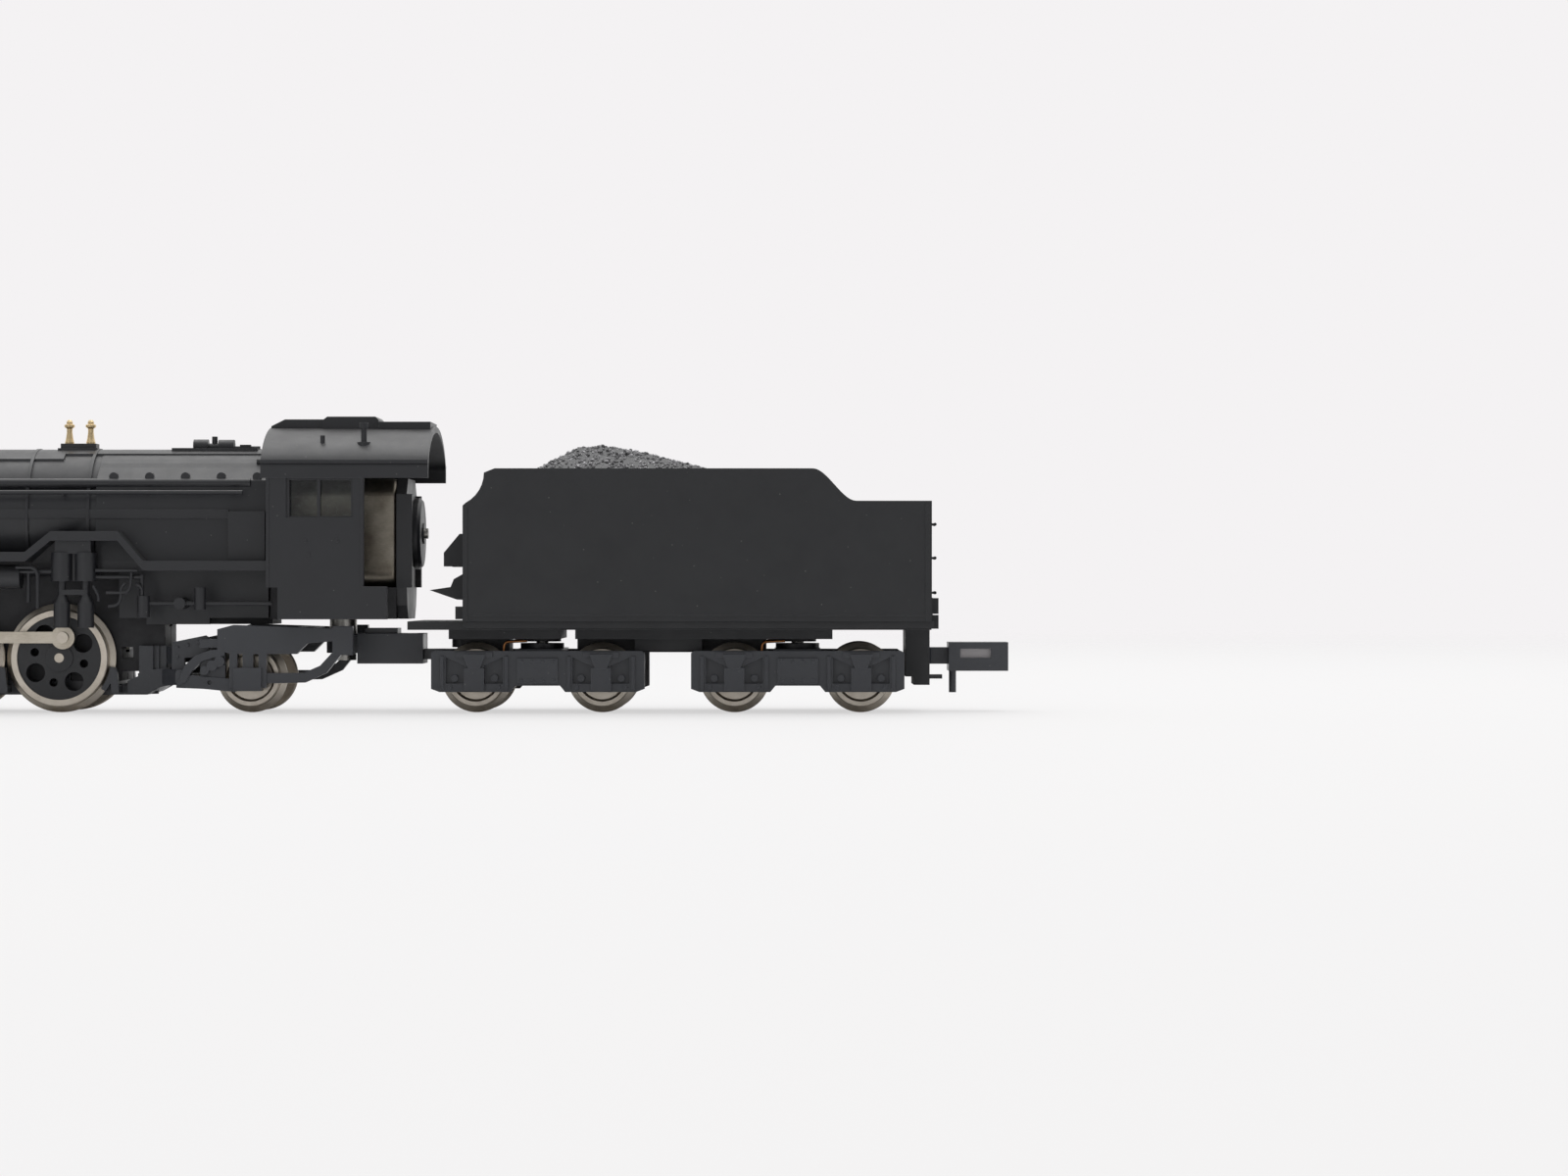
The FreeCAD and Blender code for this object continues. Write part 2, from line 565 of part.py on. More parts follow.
def motor_armature():
    """Wound core inside the can, pressed on the long shaft."""
    core = rod_x(MOTOR_FRONT_X + 2.2, MOTOR_REAR_X - 1.4, 0, SHAFT_Z, 3.4)
    slots = []
    for turn in (90, 210, 330):
        angle = math.radians(turn)
        y, z = 3.4 * math.cos(angle), SHAFT_Z + 3.4 * math.sin(angle)
        slots.append(rod_x(MOTOR_FRONT_X, MOTOR_REAR_X, y, z, 0.8))
    return join([take(core, slots), rod_x(SHAFT_FRONT_X, SHAFT_REAR_X, 0, SHAFT_Z, SHAFT_R)])


def motor_holder():
    """Plastic bracket behind the motor that clips on the chassis floor."""
    x0, x1 = MOTOR_REAR_X, MOTOR_REAR_X + HOLDER_THICK
    top = SHAFT_Z + MOTOR_R
    outline = [(-3.2, CAB_FLOOR_Z), (3.2, CAB_FLOOR_Z), (4.4, CAB_FLOOR_Z + 1.3), (4.9, CAB_FLOOR_Z + 3.0)]
    outline += [(4.9, top - 1.5), (3.4, top), (-3.4, top), (-4.9, top - 1.5), (-4.9, CAB_FLOOR_Z + 3.0)]
    outline += [(-4.4, CAB_FLOOR_Z + 1.3)]
    plate = plate_yz(outline, x0, x1)
    ribs = [side_box(x0, x1 + 0.5, 4.2, 4.9, CAB_FLOOR_Z + 3.0, top - 1.5, side) for side in (-1, 1)]
    return take(join([plate] + ribs), [rod_x(x0 - 1, x1 + 1, 0, SHAFT_Z, SHAFT_R + 0.25)])


# ---------------------------------------------------------------- chassis
CHASSIS_WEIGHT_R = BOILER_R - SHELL_WALL - 0.25
CHASSIS_LOW_Z = 3.0
CHASSIS_REAR_LOW_Z = 8.4
CHEEK_LOW_Z = 6.2
DROP_BAR_Z = 3.9
FRONT_BAR_Z = 7.3
CHASSIS_FRONT_X = SMOKEBOX_X + 1.5
LOWER_FRONT_X = DRIVER_X[0] - DRIVER_FLANGE_R - 0.2
LOWER_REAR_X = DRIVER_X[3] + DRIVER_FLANGE_R + 0.4
GEAR_POCKET_HALF = GEAR_WIDTH / 2 + 0.2
LEADING_PIVOT_X = LOWER_FRONT_X - 2.0
TRUCK_PIN_R = 0.6
SCREW_R = 0.5
SCREW_PLACES = [(DRIVER_X[0] + COUPLED_PITCH / 2, 9.5), (DRIVER_X[2] - COUPLED_PITCH / 2, 9.5)]
SCREW_PLACES.append((CAB_FRONT_X - 7.0, 10.0))


def chassis_block():
    """The whole weight before it is split in two halves."""
    weight = rod_x(CHASSIS_FRONT_X, CAB_FRONT_X - 0.2, 0, BOILER_Z, CHASSIS_WEIGHT_R)
    half = CHASSIS_LOWER_HALF
    spine = box(LEADING_X + CYLINDER_LENGTH / 2 + 0.1, CAB_FRONT_X - 0.2, -half, half, CHASSIS_REAR_LOW_Z,
                BOILER_Z)
    lower = box(LOWER_FRONT_X, LOWER_REAR_X, -half, half, CHASSIS_LOW_Z, CHASSIS_REAR_LOW_Z)
    floor = box(CAB_FRONT_X - 0.2, MOTOR_REAR_X, -4.9, 4.9, CAB_FLOOR_Z, SHAFT_Z - MOTOR_R)
    bridge = box(LEADING_X + CYLINDER_LENGTH / 2 + 0.1, LOWER_FRONT_X, -half, half, FRONT_BAR_Z,
                 CHASSIS_REAR_LOW_Z)
    cheek = box(LOWER_REAR_X - 0.2, IDLER_X + 4.4, -half, half, CHEEK_LOW_Z, CHASSIS_REAR_LOW_Z + 0.2)
    post = box(LOWER_REAR_X + 1.1, LOWER_REAR_X + 1.7, -half, half, DROP_BAR_Z, CHEEK_LOW_Z + 0.2)
    bar = box(LOWER_REAR_X - 0.2, LOWER_REAR_X + 1.3, -half, half, DROP_BAR_Z, DROP_BAR_Z + 1.2)
    return join([weight, spine, lower, floor, bridge, cheek, post, bar])


def chassis_cutters():
    """Axle slots, gear pockets, the worm and shaft tunnel, bearings and screw holes."""
    cutters = []
    for x in DRIVER_X:
        radius = DRIVER_AXLE_R + RUNNING_CLEARANCE
        cutters.append(rod_y(x, DRIVER_Z, -6, 6, radius))
        cutters.append(box(x - radius, x + radius, -6, 6, CHASSIS_LOW_Z - 1, DRIVER_Z))
    pocket = GEAR_POCKET_HALF
    cutters.append(rod_y(IDLER_X, IDLER_Z, -pocket, pocket, IDLER_PITCH_R + GEAR_ADDENDUM + 0.25))
    axle_pocket_r = AXLE_GEAR_PITCH_R + GEAR_ADDENDUM + 0.25
    cutters.append(rod_y(DRIVER_X[3], DRIVER_Z, -pocket, pocket, axle_pocket_r))
    cutters.append(rod_y(IDLER_X, IDLER_Z, -IDLER_SHAFT_HALF - 0.1, IDLER_SHAFT_HALF + 0.1,
                         IDLER_SHAFT_R + RUNNING_CLEARANCE))
    cutters.append(rod_x(WORM_X - 0.4, WORM_X + WORM_LENGTH + 0.4, 0, SHAFT_Z, WORM_R + 0.35))
    cutters.append(rod_x(SHAFT_FRONT_X - 0.2, CAB_FRONT_X + 1, 0, SHAFT_Z, SHAFT_R + RUNNING_CLEARANCE))
    cutters.append(rod_x(WORM_X + WORM_LENGTH + 3.0, CAB_FRONT_X - 2.4, 0, SHAFT_Z, SHAFT_R + 0.6))
    brush = box(CAB_FRONT_X - 0.9, CAB_FRONT_X + 1, -4.0, 4.0, SHAFT_Z - 1.0, SHAFT_Z + 1.0)
    cutters.append(brush)
    for x, z in SCREW_PLACES:
        cutters.append(rod_y(x, z, -12, 12, SCREW_R))
        cutters.append(rod_y(x, z, CHASSIS_LOWER_HALF - 0.6, 12, SCREW_R * 1.8))
        cutters.append(rod_y(x, z, -CHASSIS_LOWER_HALF + 0.6, -12, SCREW_R * 1.8))
    return cutters


def chassis_half(side):
    """One die-cast half, clear of the other by a thin insulating gap."""
    keep = side_box(CHASSIS_FRONT_X - 20, MOTOR_REAR_X + 20, CHASSIS_HALF_GAP / 2, 12, 0, 40, side)
    return take(chassis_block().common(keep), chassis_cutters())


def chassis_screws():
    """Crosswise screws through both halves, and the shouldered screws for truck and drawbar."""
    pieces = []
    for x, z in SCREW_PLACES:
        shank = rod_y(x, z, -CHASSIS_LOWER_HALF + 0.6, CHASSIS_LOWER_HALF - 0.6, SCREW_R)
        heads = []
        for side in (-1, 1):
            heads.append(rod_y(x, z, side * (CHASSIS_LOWER_HALF - 0.6), side * CHASSIS_LOWER_HALF,
                               SCREW_R * 1.8))
        pieces.append(join([shank] + heads))
    return Part.makeCompound(pieces + [leading_truck_pin(), drawbar_screw()])


KEEPER_TOP_Z = CHASSIS_LOW_Z
KEEPER_REAR_X = LOWER_REAR_X + 3.6
TRUCK_PIVOT_X = LOWER_REAR_X + 2.4
SHOE_GAP = 0.25
HANGER_ANGLE = math.radians(10.65)


def brake_set(x):
    """Crossbar behind one axle with a shoe facing the tread on each side."""
    beam_x = x + COUPLED_PITCH / 2
    bar = box(beam_x - 0.35, beam_x + 0.35, -WHEEL_OUT_Y + 0.2, WHEEL_OUT_Y - 0.2, KEEPER_Z + 0.2,
              KEEPER_Z + 0.9)
    pieces = [bar]
    for side in (-1, 1):
        y0, y1 = side * (WHEEL_IN_Y + FLANGE_WIDTH + 0.2), side * (WHEEL_OUT_Y - 0.2)
        ring_out = rod_y(x, DRIVER_Z, y0, y1, DRIVER_TREAD_R + SHOE_GAP + 0.5)
        ring_in = rod_y(x, DRIVER_Z, y0, y1, DRIVER_TREAD_R + SHOE_GAP)
        sector = plate_xz([(x, DRIVER_Z), (x + 9, DRIVER_Z - 1.6), (x + 9, DRIVER_Z - 6.6)], y0, y1)
        shoe = ring_out.cut(ring_in).common(sector)
        reach = DRIVER_TREAD_R + SHOE_GAP + 0.24
        top_x = x + reach * math.cos(HANGER_ANGLE)
        top_z = DRIVER_Z - reach * math.sin(HANGER_ANGLE)
        hanger = plate_xz([(beam_x - 0.35, KEEPER_Z + 0.2), (beam_x + 0.35, KEEPER_Z + 0.2),
                           (top_x + 0.35, top_z), (top_x - 0.35, top_z)], y0, y1)
        tread = rod_y(x, DRIVER_Z, y0, y1, DRIVER_TREAD_R + SHOE_GAP)
        pieces += [shoe, hanger.cut(tread)]
    return join(pieces)


def keeper_plate():
    """Moulded plate under the chassis: it closes the axle slots and carries the brakes."""
    half = CHASSIS_LOWER_HALF - 0.1
    plate_top = KEEPER_TOP_Z - 0.35
    front_x = LOWER_FRONT_X + 0.2
    plate = plate_xz([(front_x, KEEPER_Z), (KEEPER_REAR_X - 1.2, KEEPER_Z), (KEEPER_REAR_X, plate_top - 0.35),
                      (KEEPER_REAR_X, plate_top), (front_x, plate_top)], -half, half)
    rim = box(LOWER_FRONT_X + 0.2, LOWER_REAR_X - 0.3, -half, half, KEEPER_Z, KEEPER_TOP_Z)
    posts = []
    for x in DRIVER_X:
        width = DRIVER_AXLE_R - 0.05
        top = DRIVER_Z - DRIVER_AXLE_R - 0.06
        posts.append(box(x - width, x + width, -half, half, KEEPER_Z, top))
    pivot = rod_z(TRUCK_PIVOT_X, 0, KEEPER_Z, TRUCK_ARM_Z + TRUCK_ARM_THICK + 0.25, TRUCK_PIN_R)
    whole = join([plate, rim, pivot] + posts + [brake_set(x) for x in DRIVER_X])
    pocket = rod_y(DRIVER_X[3], DRIVER_Z, -GEAR_POCKET_HALF, GEAR_POCKET_HALF,
                   AXLE_GEAR_PITCH_R + GEAR_ADDENDUM + 0.25)
    return take(whole, [pocket])


# ---------------------------------------------------------------- trailing and leading trucks
TRUCK_ARM_Z = 2.75
TRUCK_ARM_THICK = 0.9
TRUCK_SIDE_IN = 6.1
TRUCK_SIDE_OUT = 7.2
TRUCK_TOP_Z = 8.35
TRUCK_FRONT_X = TRAILING_X - 6.0
TRUCK_REAR_X = TRAILING_X + 9.9


def trailing_side(side):
    """Outside frame: deep top beam, axlebox below it, bars that rise to the ends, end block."""
    x = TRAILING_X
    beam = plate_xz([(x - 2.9, 6.0), (x - 1.6, 5.6), (x + 4.6, 5.6), (x + 5.6, 6.6), (x + 9.0, 6.9),
                     (x + 9.0, TRUCK_TOP_Z - 0.35), (x - 1.4, TRUCK_TOP_Z), (x - 2.9, TRUCK_TOP_Z - 0.4)],
                    side * TRUCK_SIDE_IN, side * TRUCK_SIDE_OUT)
    journal = side_box(x - 1.3, x + 1.3, TRUCK_SIDE_IN, TRUCK_SIDE_OUT + 0.35, 2.1, 4.3, side)
    horns = [side_box(x - 1.75, x - 1.0, TRUCK_SIDE_IN, TRUCK_SIDE_OUT, 2.4, 5.8, side)]
    horns.append(side_box(x + 1.0, x + 1.75, TRUCK_SIDE_IN, TRUCK_SIDE_OUT, 2.4, 5.8, side))
    hanger = side_box(x - 0.5, x + 0.5, TRUCK_SIDE_IN, TRUCK_SIDE_OUT, 4.2, 5.8, side)
    front_bar = plate_xz([(x - 6.8, 2.4), (x - 4.2, 2.3), (x - 1.2, 2.0), (x - 1.2, 3.2), (x - 5.6, 3.6),
                          (x - 6.8, 4.1)], side * TRUCK_SIDE_IN, side * (TRUCK_SIDE_OUT - 0.2))
    rear_bar = plate_xz([(x + 1.2, 2.8), (x + 5.4, 2.9), (x + 7.4, 3.8), (x + 8.9, 5.7), (x + 8.1, 5.9),
                         (x + 6.8, 4.5), (x + 5.2, 3.8), (x + 1.2, 3.8)],
                        side * TRUCK_SIDE_IN, side * (TRUCK_SIDE_OUT - 0.2))
    end = side_box(x + 8.0, TRUCK_REAR_X, TRUCK_SIDE_IN, TRUCK_SIDE_OUT, 5.5, TRUCK_TOP_Z - 0.1, side)
    rise = plate_xz([(x - 6.7, 2.6), (x - 5.9, 2.9), (x - 5.3, 4.0), (x - 4.4, 4.9), (x - 3.2, 5.3),
                     (x - 2.2, 5.45),
                     (x - 2.2, 6.1), (x - 3.6, 5.95), (x - 5.0, 5.45), (x - 6.0, 4.5)],
                    side * TRUCK_SIDE_IN, side * TRUCK_SIDE_OUT)
    cheek = plate_xz([(x - 7.4, 2.9), (x - 6.2, 3.3), (x - 6.2, 5.2), (x - 3.8, 5.4), (x - 3.3, 6.7),
                      (x - 4.2, 7.35),
                      (x - 7.4, 6.7)], side * (TRUCK_SIDE_IN - 0.8), side * (TRUCK_SIDE_IN - 0.3))
    cheek_top = side_box(x - 4.6, x - 2.7, TRUCK_SIDE_IN - 0.6, TRUCK_SIDE_OUT - 0.2, 6.2, 7.0, side)
    cheek_foot = side_box(x - 6.9, x - 6.1, TRUCK_SIDE_IN - 0.6, TRUCK_SIDE_OUT - 0.2, 2.9, 3.9, side)
    rivets = [rod_y(x + dx, z, side * (TRUCK_SIDE_IN - 0.5), side * (TRUCK_SIDE_IN - 0.15), 0.16)
              for dx, z in ((-6.9, 6.2), (-5.9, 6.45), (-4.9, 6.7), (-6.9, 5.3), (-4.0, 6.1))]
    springs = [rod_y(x + dx, z, side * (TRUCK_SIDE_IN - 0.2), side * TRUCK_SIDE_OUT, r)
               for dx, z, r in ((-4.1, 4.05, 0.42), (-3.4, 4.5, 0.5), (-2.7, 4.9, 0.5))]
    spring_stay = side_box(x - 4.6, x - 2.2, TRUCK_SIDE_IN, TRUCK_SIDE_OUT - 0.5, 3.2, 5.6, side)
    peep = rod_y(x - 3.65, 2.9, side * (TRUCK_SIDE_OUT - 0.5), side * (TRUCK_SIDE_OUT + 1), 0.22)
    bore = rod_y(x, CARRIER_Z, side * (TRUCK_SIDE_IN - 1), side * (TRUCK_SIDE_OUT - 0.1), JOURNAL_R + 0.06)
    pieces = [beam, journal, hanger, front_bar, rear_bar, end, rise, cheek, cheek_top, cheek_foot, spring_stay]
    return take(join(pieces + horns + rivets + springs), [bore, peep])


def truck_nose(side):
    """Front corner of the truck: a bright upright plate, a ribbed web and the bent toe below them."""
    x = TRUCK_PIVOT_X
    toe = plate_xz([(x - 1.7, 1.8), (x + 0.3, 1.8), (x + 1.4, 2.4), (x + 2.4, 2.6), (x + 2.4, 4.3),
                    (x + 0.8, 4.1),
                    (x - 1.7, 3.0)], side * 3.45, side * 4.2)
    plate = side_box(x - 0.6, x + 0.75, 3.7, 4.2, 3.4, 6.35, side)
    web = side_box(x + 0.7, x + 2.6, 3.45, 3.8, 3.6, 6.35, side)
    ribs = [side_box(x + dx, x + dx + 0.2, 3.6, 4.05, 3.7, 6.35, side) for dx in (1.1, 1.8)]
    spread = plate_xy([(x + 1.6, side * 3.45), (x + 1.6, side * 4.2), (x + 3.5, side * 6.9), (x + 4.3,
                                                                                              side * 6.9),
                       (x + 4.3, side * 5.6), (x + 2.6, side * 3.45)], 2.65, 4.1)
    high = plate_xy([(x + 1.9, side * 3.5), (x + 1.9, side * 3.8), (x + 3.2, side * 5.8), (x + 3.7, side * 5.8),
                     (x + 3.7, side * 5.3), (x + 2.5, side * 3.5)], 4.6, 6.2)
    return join([toe, plate, web, spread, high] + ribs)


def trailing_truck():
    """Plastic truck frame that swings on a pin behind the last coupled axle."""
    z0, z1 = TRUCK_ARM_Z, TRUCK_ARM_Z + TRUCK_ARM_THICK
    arm = plate_xy([(TRUCK_PIVOT_X - 1.2, -1.3), (TRUCK_PIVOT_X + 1.2, -1.6), (TRUCK_FRONT_X + 1.0, -6.3),
                    (TRUCK_FRONT_X + 1.0, 6.3), (TRUCK_PIVOT_X + 1.2, 1.6), (TRUCK_PIVOT_X - 1.2, 1.3)], z0, z1)
    cross = box(TRAILING_X + 3.9, TRAILING_X + 5.7, -TRUCK_SIDE_IN - 0.2, TRUCK_SIDE_IN + 0.2, 6.9, 8.1)
    hole = rod_z(TRUCK_PIVOT_X, 0, z0 - 1, z1 + 1, TRUCK_PIN_R + RUNNING_CLEARANCE)
    root = box(TRUCK_PIVOT_X + 0.9, TRUCK_PIVOT_X + 2.4, -3.7, 3.7, z0, z1)
    return take(join([arm, cross, root] + both(truck_nose) + both(trailing_side)), [hole])


LEADING_ARM_Z = 2.5
LEADING_ARM_TOP_Z = 4.3


def leading_truck():
    """Inside-bearing pony truck on a pin ahead of the first coupled axle."""
    x = LEADING_X
    arm = plate_xy([(LEADING_PIVOT_X + 1.2, -1.3), (LEADING_PIVOT_X + 1.2, 1.3), (x + 4.0, 3.2), (x - 1.4, 3.2),
                    (x - 1.4, -3.2), (x + 4.0, -3.2)], LEADING_ARM_Z, LEADING_ARM_TOP_Z)
    guard = [side_box(x - 5.0, x - 4.4, 3.9, 4.9, 1.1, 4.3, side) for side in (-1, 1)]
    bar = box(x - 5.0, x - 4.4, -4.9, 4.9, 3.3, 4.3)
    tongue = box(x - 5.0, x - 1.2, -1.4, 1.4, 3.3, 4.3)
    hole = rod_z(LEADING_PIVOT_X, 0, 0, 9, TRUCK_PIN_R + RUNNING_CLEARANCE)
    bore = rod_y(x, CARRIER_Z, -5, 5, CARRIER_AXLE_R + RUNNING_CLEARANCE)
    return take(join([arm, bar, tongue] + guard), [hole, bore])


def leading_truck_pin():
    """Shouldered pin that holds the pony truck under the front of the chassis."""
    shank = rod_z(LEADING_PIVOT_X, 0, LEADING_ARM_Z - 0.05, FRONT_BAR_Z, TRUCK_PIN_R)
    head = rod_z(LEADING_PIVOT_X, 0, LEADING_ARM_Z - 0.45, LEADING_ARM_Z - 0.05, 1.1)
    shoulder = rod_z(LEADING_PIVOT_X, 0, LEADING_ARM_TOP_Z + 0.1, FRONT_BAR_Z, 1.1)
    return join([shank, head, shoulder])


# ---------------------------------------------------------------- boiler
FIREBOX_HALF_LOW = 6.9
FIREBOX_CREASE = (6.2, 22.05)
FIREBOX_SHOULDER_Z = 23.3
CLADDING_STEP = 0.08


def firebox_outline(shrink, bottom_z):
    """End view of the firebox: round crown, sloping shoulder, crease, nearly flat side."""
    radius = BOILER_R + CLADDING_STEP - shrink
    rise = min(FIREBOX_SHOULDER_Z - BOILER_Z, radius * 0.8)
    start = math.degrees(math.asin(rise / radius))
    crown = arc_points(0, BOILER_Z, radius, start, 180 - start, 14)
    crease_y, crease_z = FIREBOX_CREASE[0] - shrink, FIREBOX_CREASE[1] - shrink * 0.3
    low = FIREBOX_HALF_LOW - shrink
    right = [(low, bottom_z), (low, BOARD_Z), (crease_y, crease_z)]
    left = [(-y, z) for y, z in reversed(right)]
    return right + crown + left


FIREBOX_SKIRT_Z = 9.0
ASHPAN_HALF = 5.3


def boiler_outer():
    barrel = rod_x(SMOKEBOX_X, FIREBOX_FRONT_X + 1.0, 0, BOILER_Z, BOILER_R)
    firebox = plate_yz(firebox_outline(0, BOARD_Z - BOARD_THICK), FIREBOX_FRONT_X, CAB_FRONT_X)
    ashpan = box(FIREBOX_FRONT_X + 2.0, CAB_FRONT_X - 0.3, -ASHPAN_HALF, ASHPAN_HALF, FIREBOX_SKIRT_Z, BOARD_Z)
    hopper = box(FIREBOX_FRONT_X + 4.6, FIREBOX_FRONT_X + 10.6, -ASHPAN_HALF, ASHPAN_HALF,
                 FIREBOX_SKIRT_Z - 0.6, BOARD_Z)
    return join([barrel, firebox, ashpan, hopper])


def boiler_inner():
    barrel = rod_x(SMOKEBOX_X - 1, FIREBOX_FRONT_X + 1.6, 0, BOILER_Z, BOILER_R - SHELL_WALL)
    firebox = plate_yz(firebox_outline(SHELL_WALL, FIREBOX_SKIRT_Z - 5), FIREBOX_FRONT_X + 0.8, CAB_FRONT_X + 1)
    ashpan = box(FIREBOX_FRONT_X, CAB_FRONT_X + 1, -ASHPAN_HALF + 0.7, ASHPAN_HALF - 0.7, 0, BOARD_Z)
    keep_sides = []
    for side in (-1, 1):
        keep_sides.append(side_box(FIREBOX_FRONT_X, CAB_FRONT_X + 2, ASHPAN_HALF - 0.7, 12, 0,
                                   BOARD_Z - 0.1, side))
    slot = box(LEADING_X + CYLINDER_LENGTH / 2, FIREBOX_FRONT_X + 2.0, -CHASSIS_LOWER_HALF - 0.1,
               CHASSIS_LOWER_HALF + 0.1,
               0, BOILER_Z)
    solid = take(firebox, keep_sides)
    return [join([barrel, solid]), ashpan, slot]


CHIMNEY_X = LEADING_X + 1.6
DOME_FRONT_X = DRIVER_X[0] - 4.5
DOME_REAR_X = DRIVER_X[1] + 1.5
DOME_HALF = 3.1
DOME_TOP_Z = BOILER_TOP_Z + 2.9
BAND_RISE = 0.27


def dome_casing():
    """Long dome casing with a rounded top and sloping ends."""
    crown = arc_points(0, BOILER_TOP_Z - 0.2, DOME_HALF, 0, 180, 12)
    ring = plate_yz([(DOME_HALF, BOILER_TOP_Z - 3.5)] + crown + [(-DOME_HALF, BOILER_TOP_Z - 3.5)],
                    DOME_FRONT_X, DOME_REAR_X)
    side = plate_xz([(DOME_FRONT_X, BOILER_TOP_Z - 3), (DOME_FRONT_X + 0.4, BOILER_TOP_Z + 1.6),
                     (DOME_FRONT_X + 1.6, DOME_TOP_Z), (DOME_REAR_X - 1.6, DOME_TOP_Z),
                     (DOME_REAR_X - 0.4, BOILER_TOP_Z + 1.6), (DOME_REAR_X, BOILER_TOP_Z - 3)], -8, 8)
    return ring.common(side)


def chimney():
    base = turned_z([(0, BOILER_TOP_Z - 1.6), (2.9, BOILER_TOP_Z - 1.6), (2.3, BOILER_TOP_Z - 0.2),
                     (1.75, BOILER_TOP_Z + 0.5), (1.6, BOILER_TOP_Z + 2.2), (1.95, BOILER_TOP_Z + 2.4),
                     (1.95, BOILER_TOP_Z + 3.0), (0, BOILER_TOP_Z + 3.0)], CHIMNEY_X, 0)
    return base


def boiler_band(x):
    """A cladding band, standing a little proud of the barrel."""
    outer = rod_x(x, x + 0.3, 0, BOILER_Z, BOILER_R + BAND_RISE)
    return outer.cut(box(x - 1, x + 2, -12, 12, 0, BOARD_Z - 0.2))


def washout_plug(x, side):
    """Small round plug on the sloping shoulder of the firebox."""
    y = side * (FIREBOX_CREASE[0] - 0.25)
    return rod_y(x, FIREBOX_CREASE[1] + 0.35, y - side * 0.8, y + side * 0.12, 0.42)


COVER_RISE = 0.2


def top_cover(x0, x1, half):
    """A thin cover lying along the top of the barrel."""
    return rod_x(x0, x1, 0, BOILER_Z, BOILER_R + COVER_RISE).common(box(x0, x1, -half, half, BOILER_Z, 40))


def side_pipe(side):
    """Covered pipe under the crease of the firebox, and the flat cladding strip below it."""
    pipe = rod_x(SMOKEBOX_X + 9.8, CAB_FRONT_X - 1.9, side * 6.0, BOILER_Z + 3.3, 0.45)
    strip = side_box(SMOKEBOX_X + 9.8, CAB_FRONT_X - 3.9, 6.0, 6.66, BOILER_Z - 0.05, BOILER_Z + 0.8, side)
    return join([pipe, strip])


def boiler_handrail(side):
    """Rail on the side of the boiler, moulded with short stanchions."""
    y = side * (BOILER_R + 0.75)
    z = BOILER_Z + 2.4
    rail = rod_x(SMOKEBOX_X + 2.0, CAB_FRONT_X - 2.5, y, z, 0.2)
    posts = []
    count = 9
    start, end = SMOKEBOX_X + 3.0, CAB_FRONT_X - 3.5
    for i in range(count):
        x = start + (end - start) * i / (count - 1)
        posts.append(rod_y(x, z, side * (BOILER_R - 1.2), y, 0.18))
    return join([rail] + posts)


SAFETY_VALVE_X = (-0.01, 2.04)
VALVE_PLATE_TOP_Z = BOILER_TOP_Z + 0.75


def valve_seat():
    """Small plate on the firebox crown that the two safety valves stand in."""
    plate = box(-0.9, 2.9, -1.3, 1.3, BOILER_TOP_Z - 0.6, VALVE_PLATE_TOP_Z - 0.45)
    pad = box(-0.7, 2.7, -0.9, 0.9, BOILER_TOP_Z, VALVE_PLATE_TOP_Z)
    return join([plate, pad])


def boiler_shell():
    """Boiler, smokebox and firebox in one moulding, open below for the chassis."""
    extras = [dome_casing(), chimney(), valve_seat()]
    bands_at = [SMOKEBOX_X + 9.5, DRIVER_X[0] - 1.0, DRIVER_X[1] + 4.5, DRIVER_X[3] - 3.0,
                FIREBOX_FRONT_X - 0.9]
    extras += [boiler_band(x) for x in bands_at]
    for side in (-1, 1):
        for step in range(5):
            extras.append(washout_plug(FIREBOX_FRONT_X + 1.6 + 3.4 * step, side))
    panel = [side_box(CAB_FRONT_X - 3.9, CAB_FRONT_X - 0.4, 5.8, FIREBOX_HALF_LOW + 0.25, BOARD_Z, 19.1, side)
             for side in (-1, 1)]
    covers = [top_cover(DOME_REAR_X - 1.0, 0.1, 3.55), top_cover(-0.2, CAB_FRONT_X - 0.05, 2.5)]
    stub = rod_x(CAB_FRONT_X - 1.6, CAB_FRONT_X - 0.05, -3.9, BOILER_TOP_Z - 1.1, 0.3)
    outer = join([boiler_outer()] + extras + panel + covers + [stub] + both(boiler_handrail) + both(side_pipe))
    flue = rod_z(CHIMNEY_X, 0, BOILER_TOP_Z + 0.4, BOILER_TOP_Z + 4, 1.3)
    sockets = [rod_z(x, 0, BOILER_TOP_Z + 0.15, BOILER_TOP_Z + 3, 0.3) for x in SAFETY_VALVE_X]
    return take(outer, boiler_inner() + [flue] + sockets)


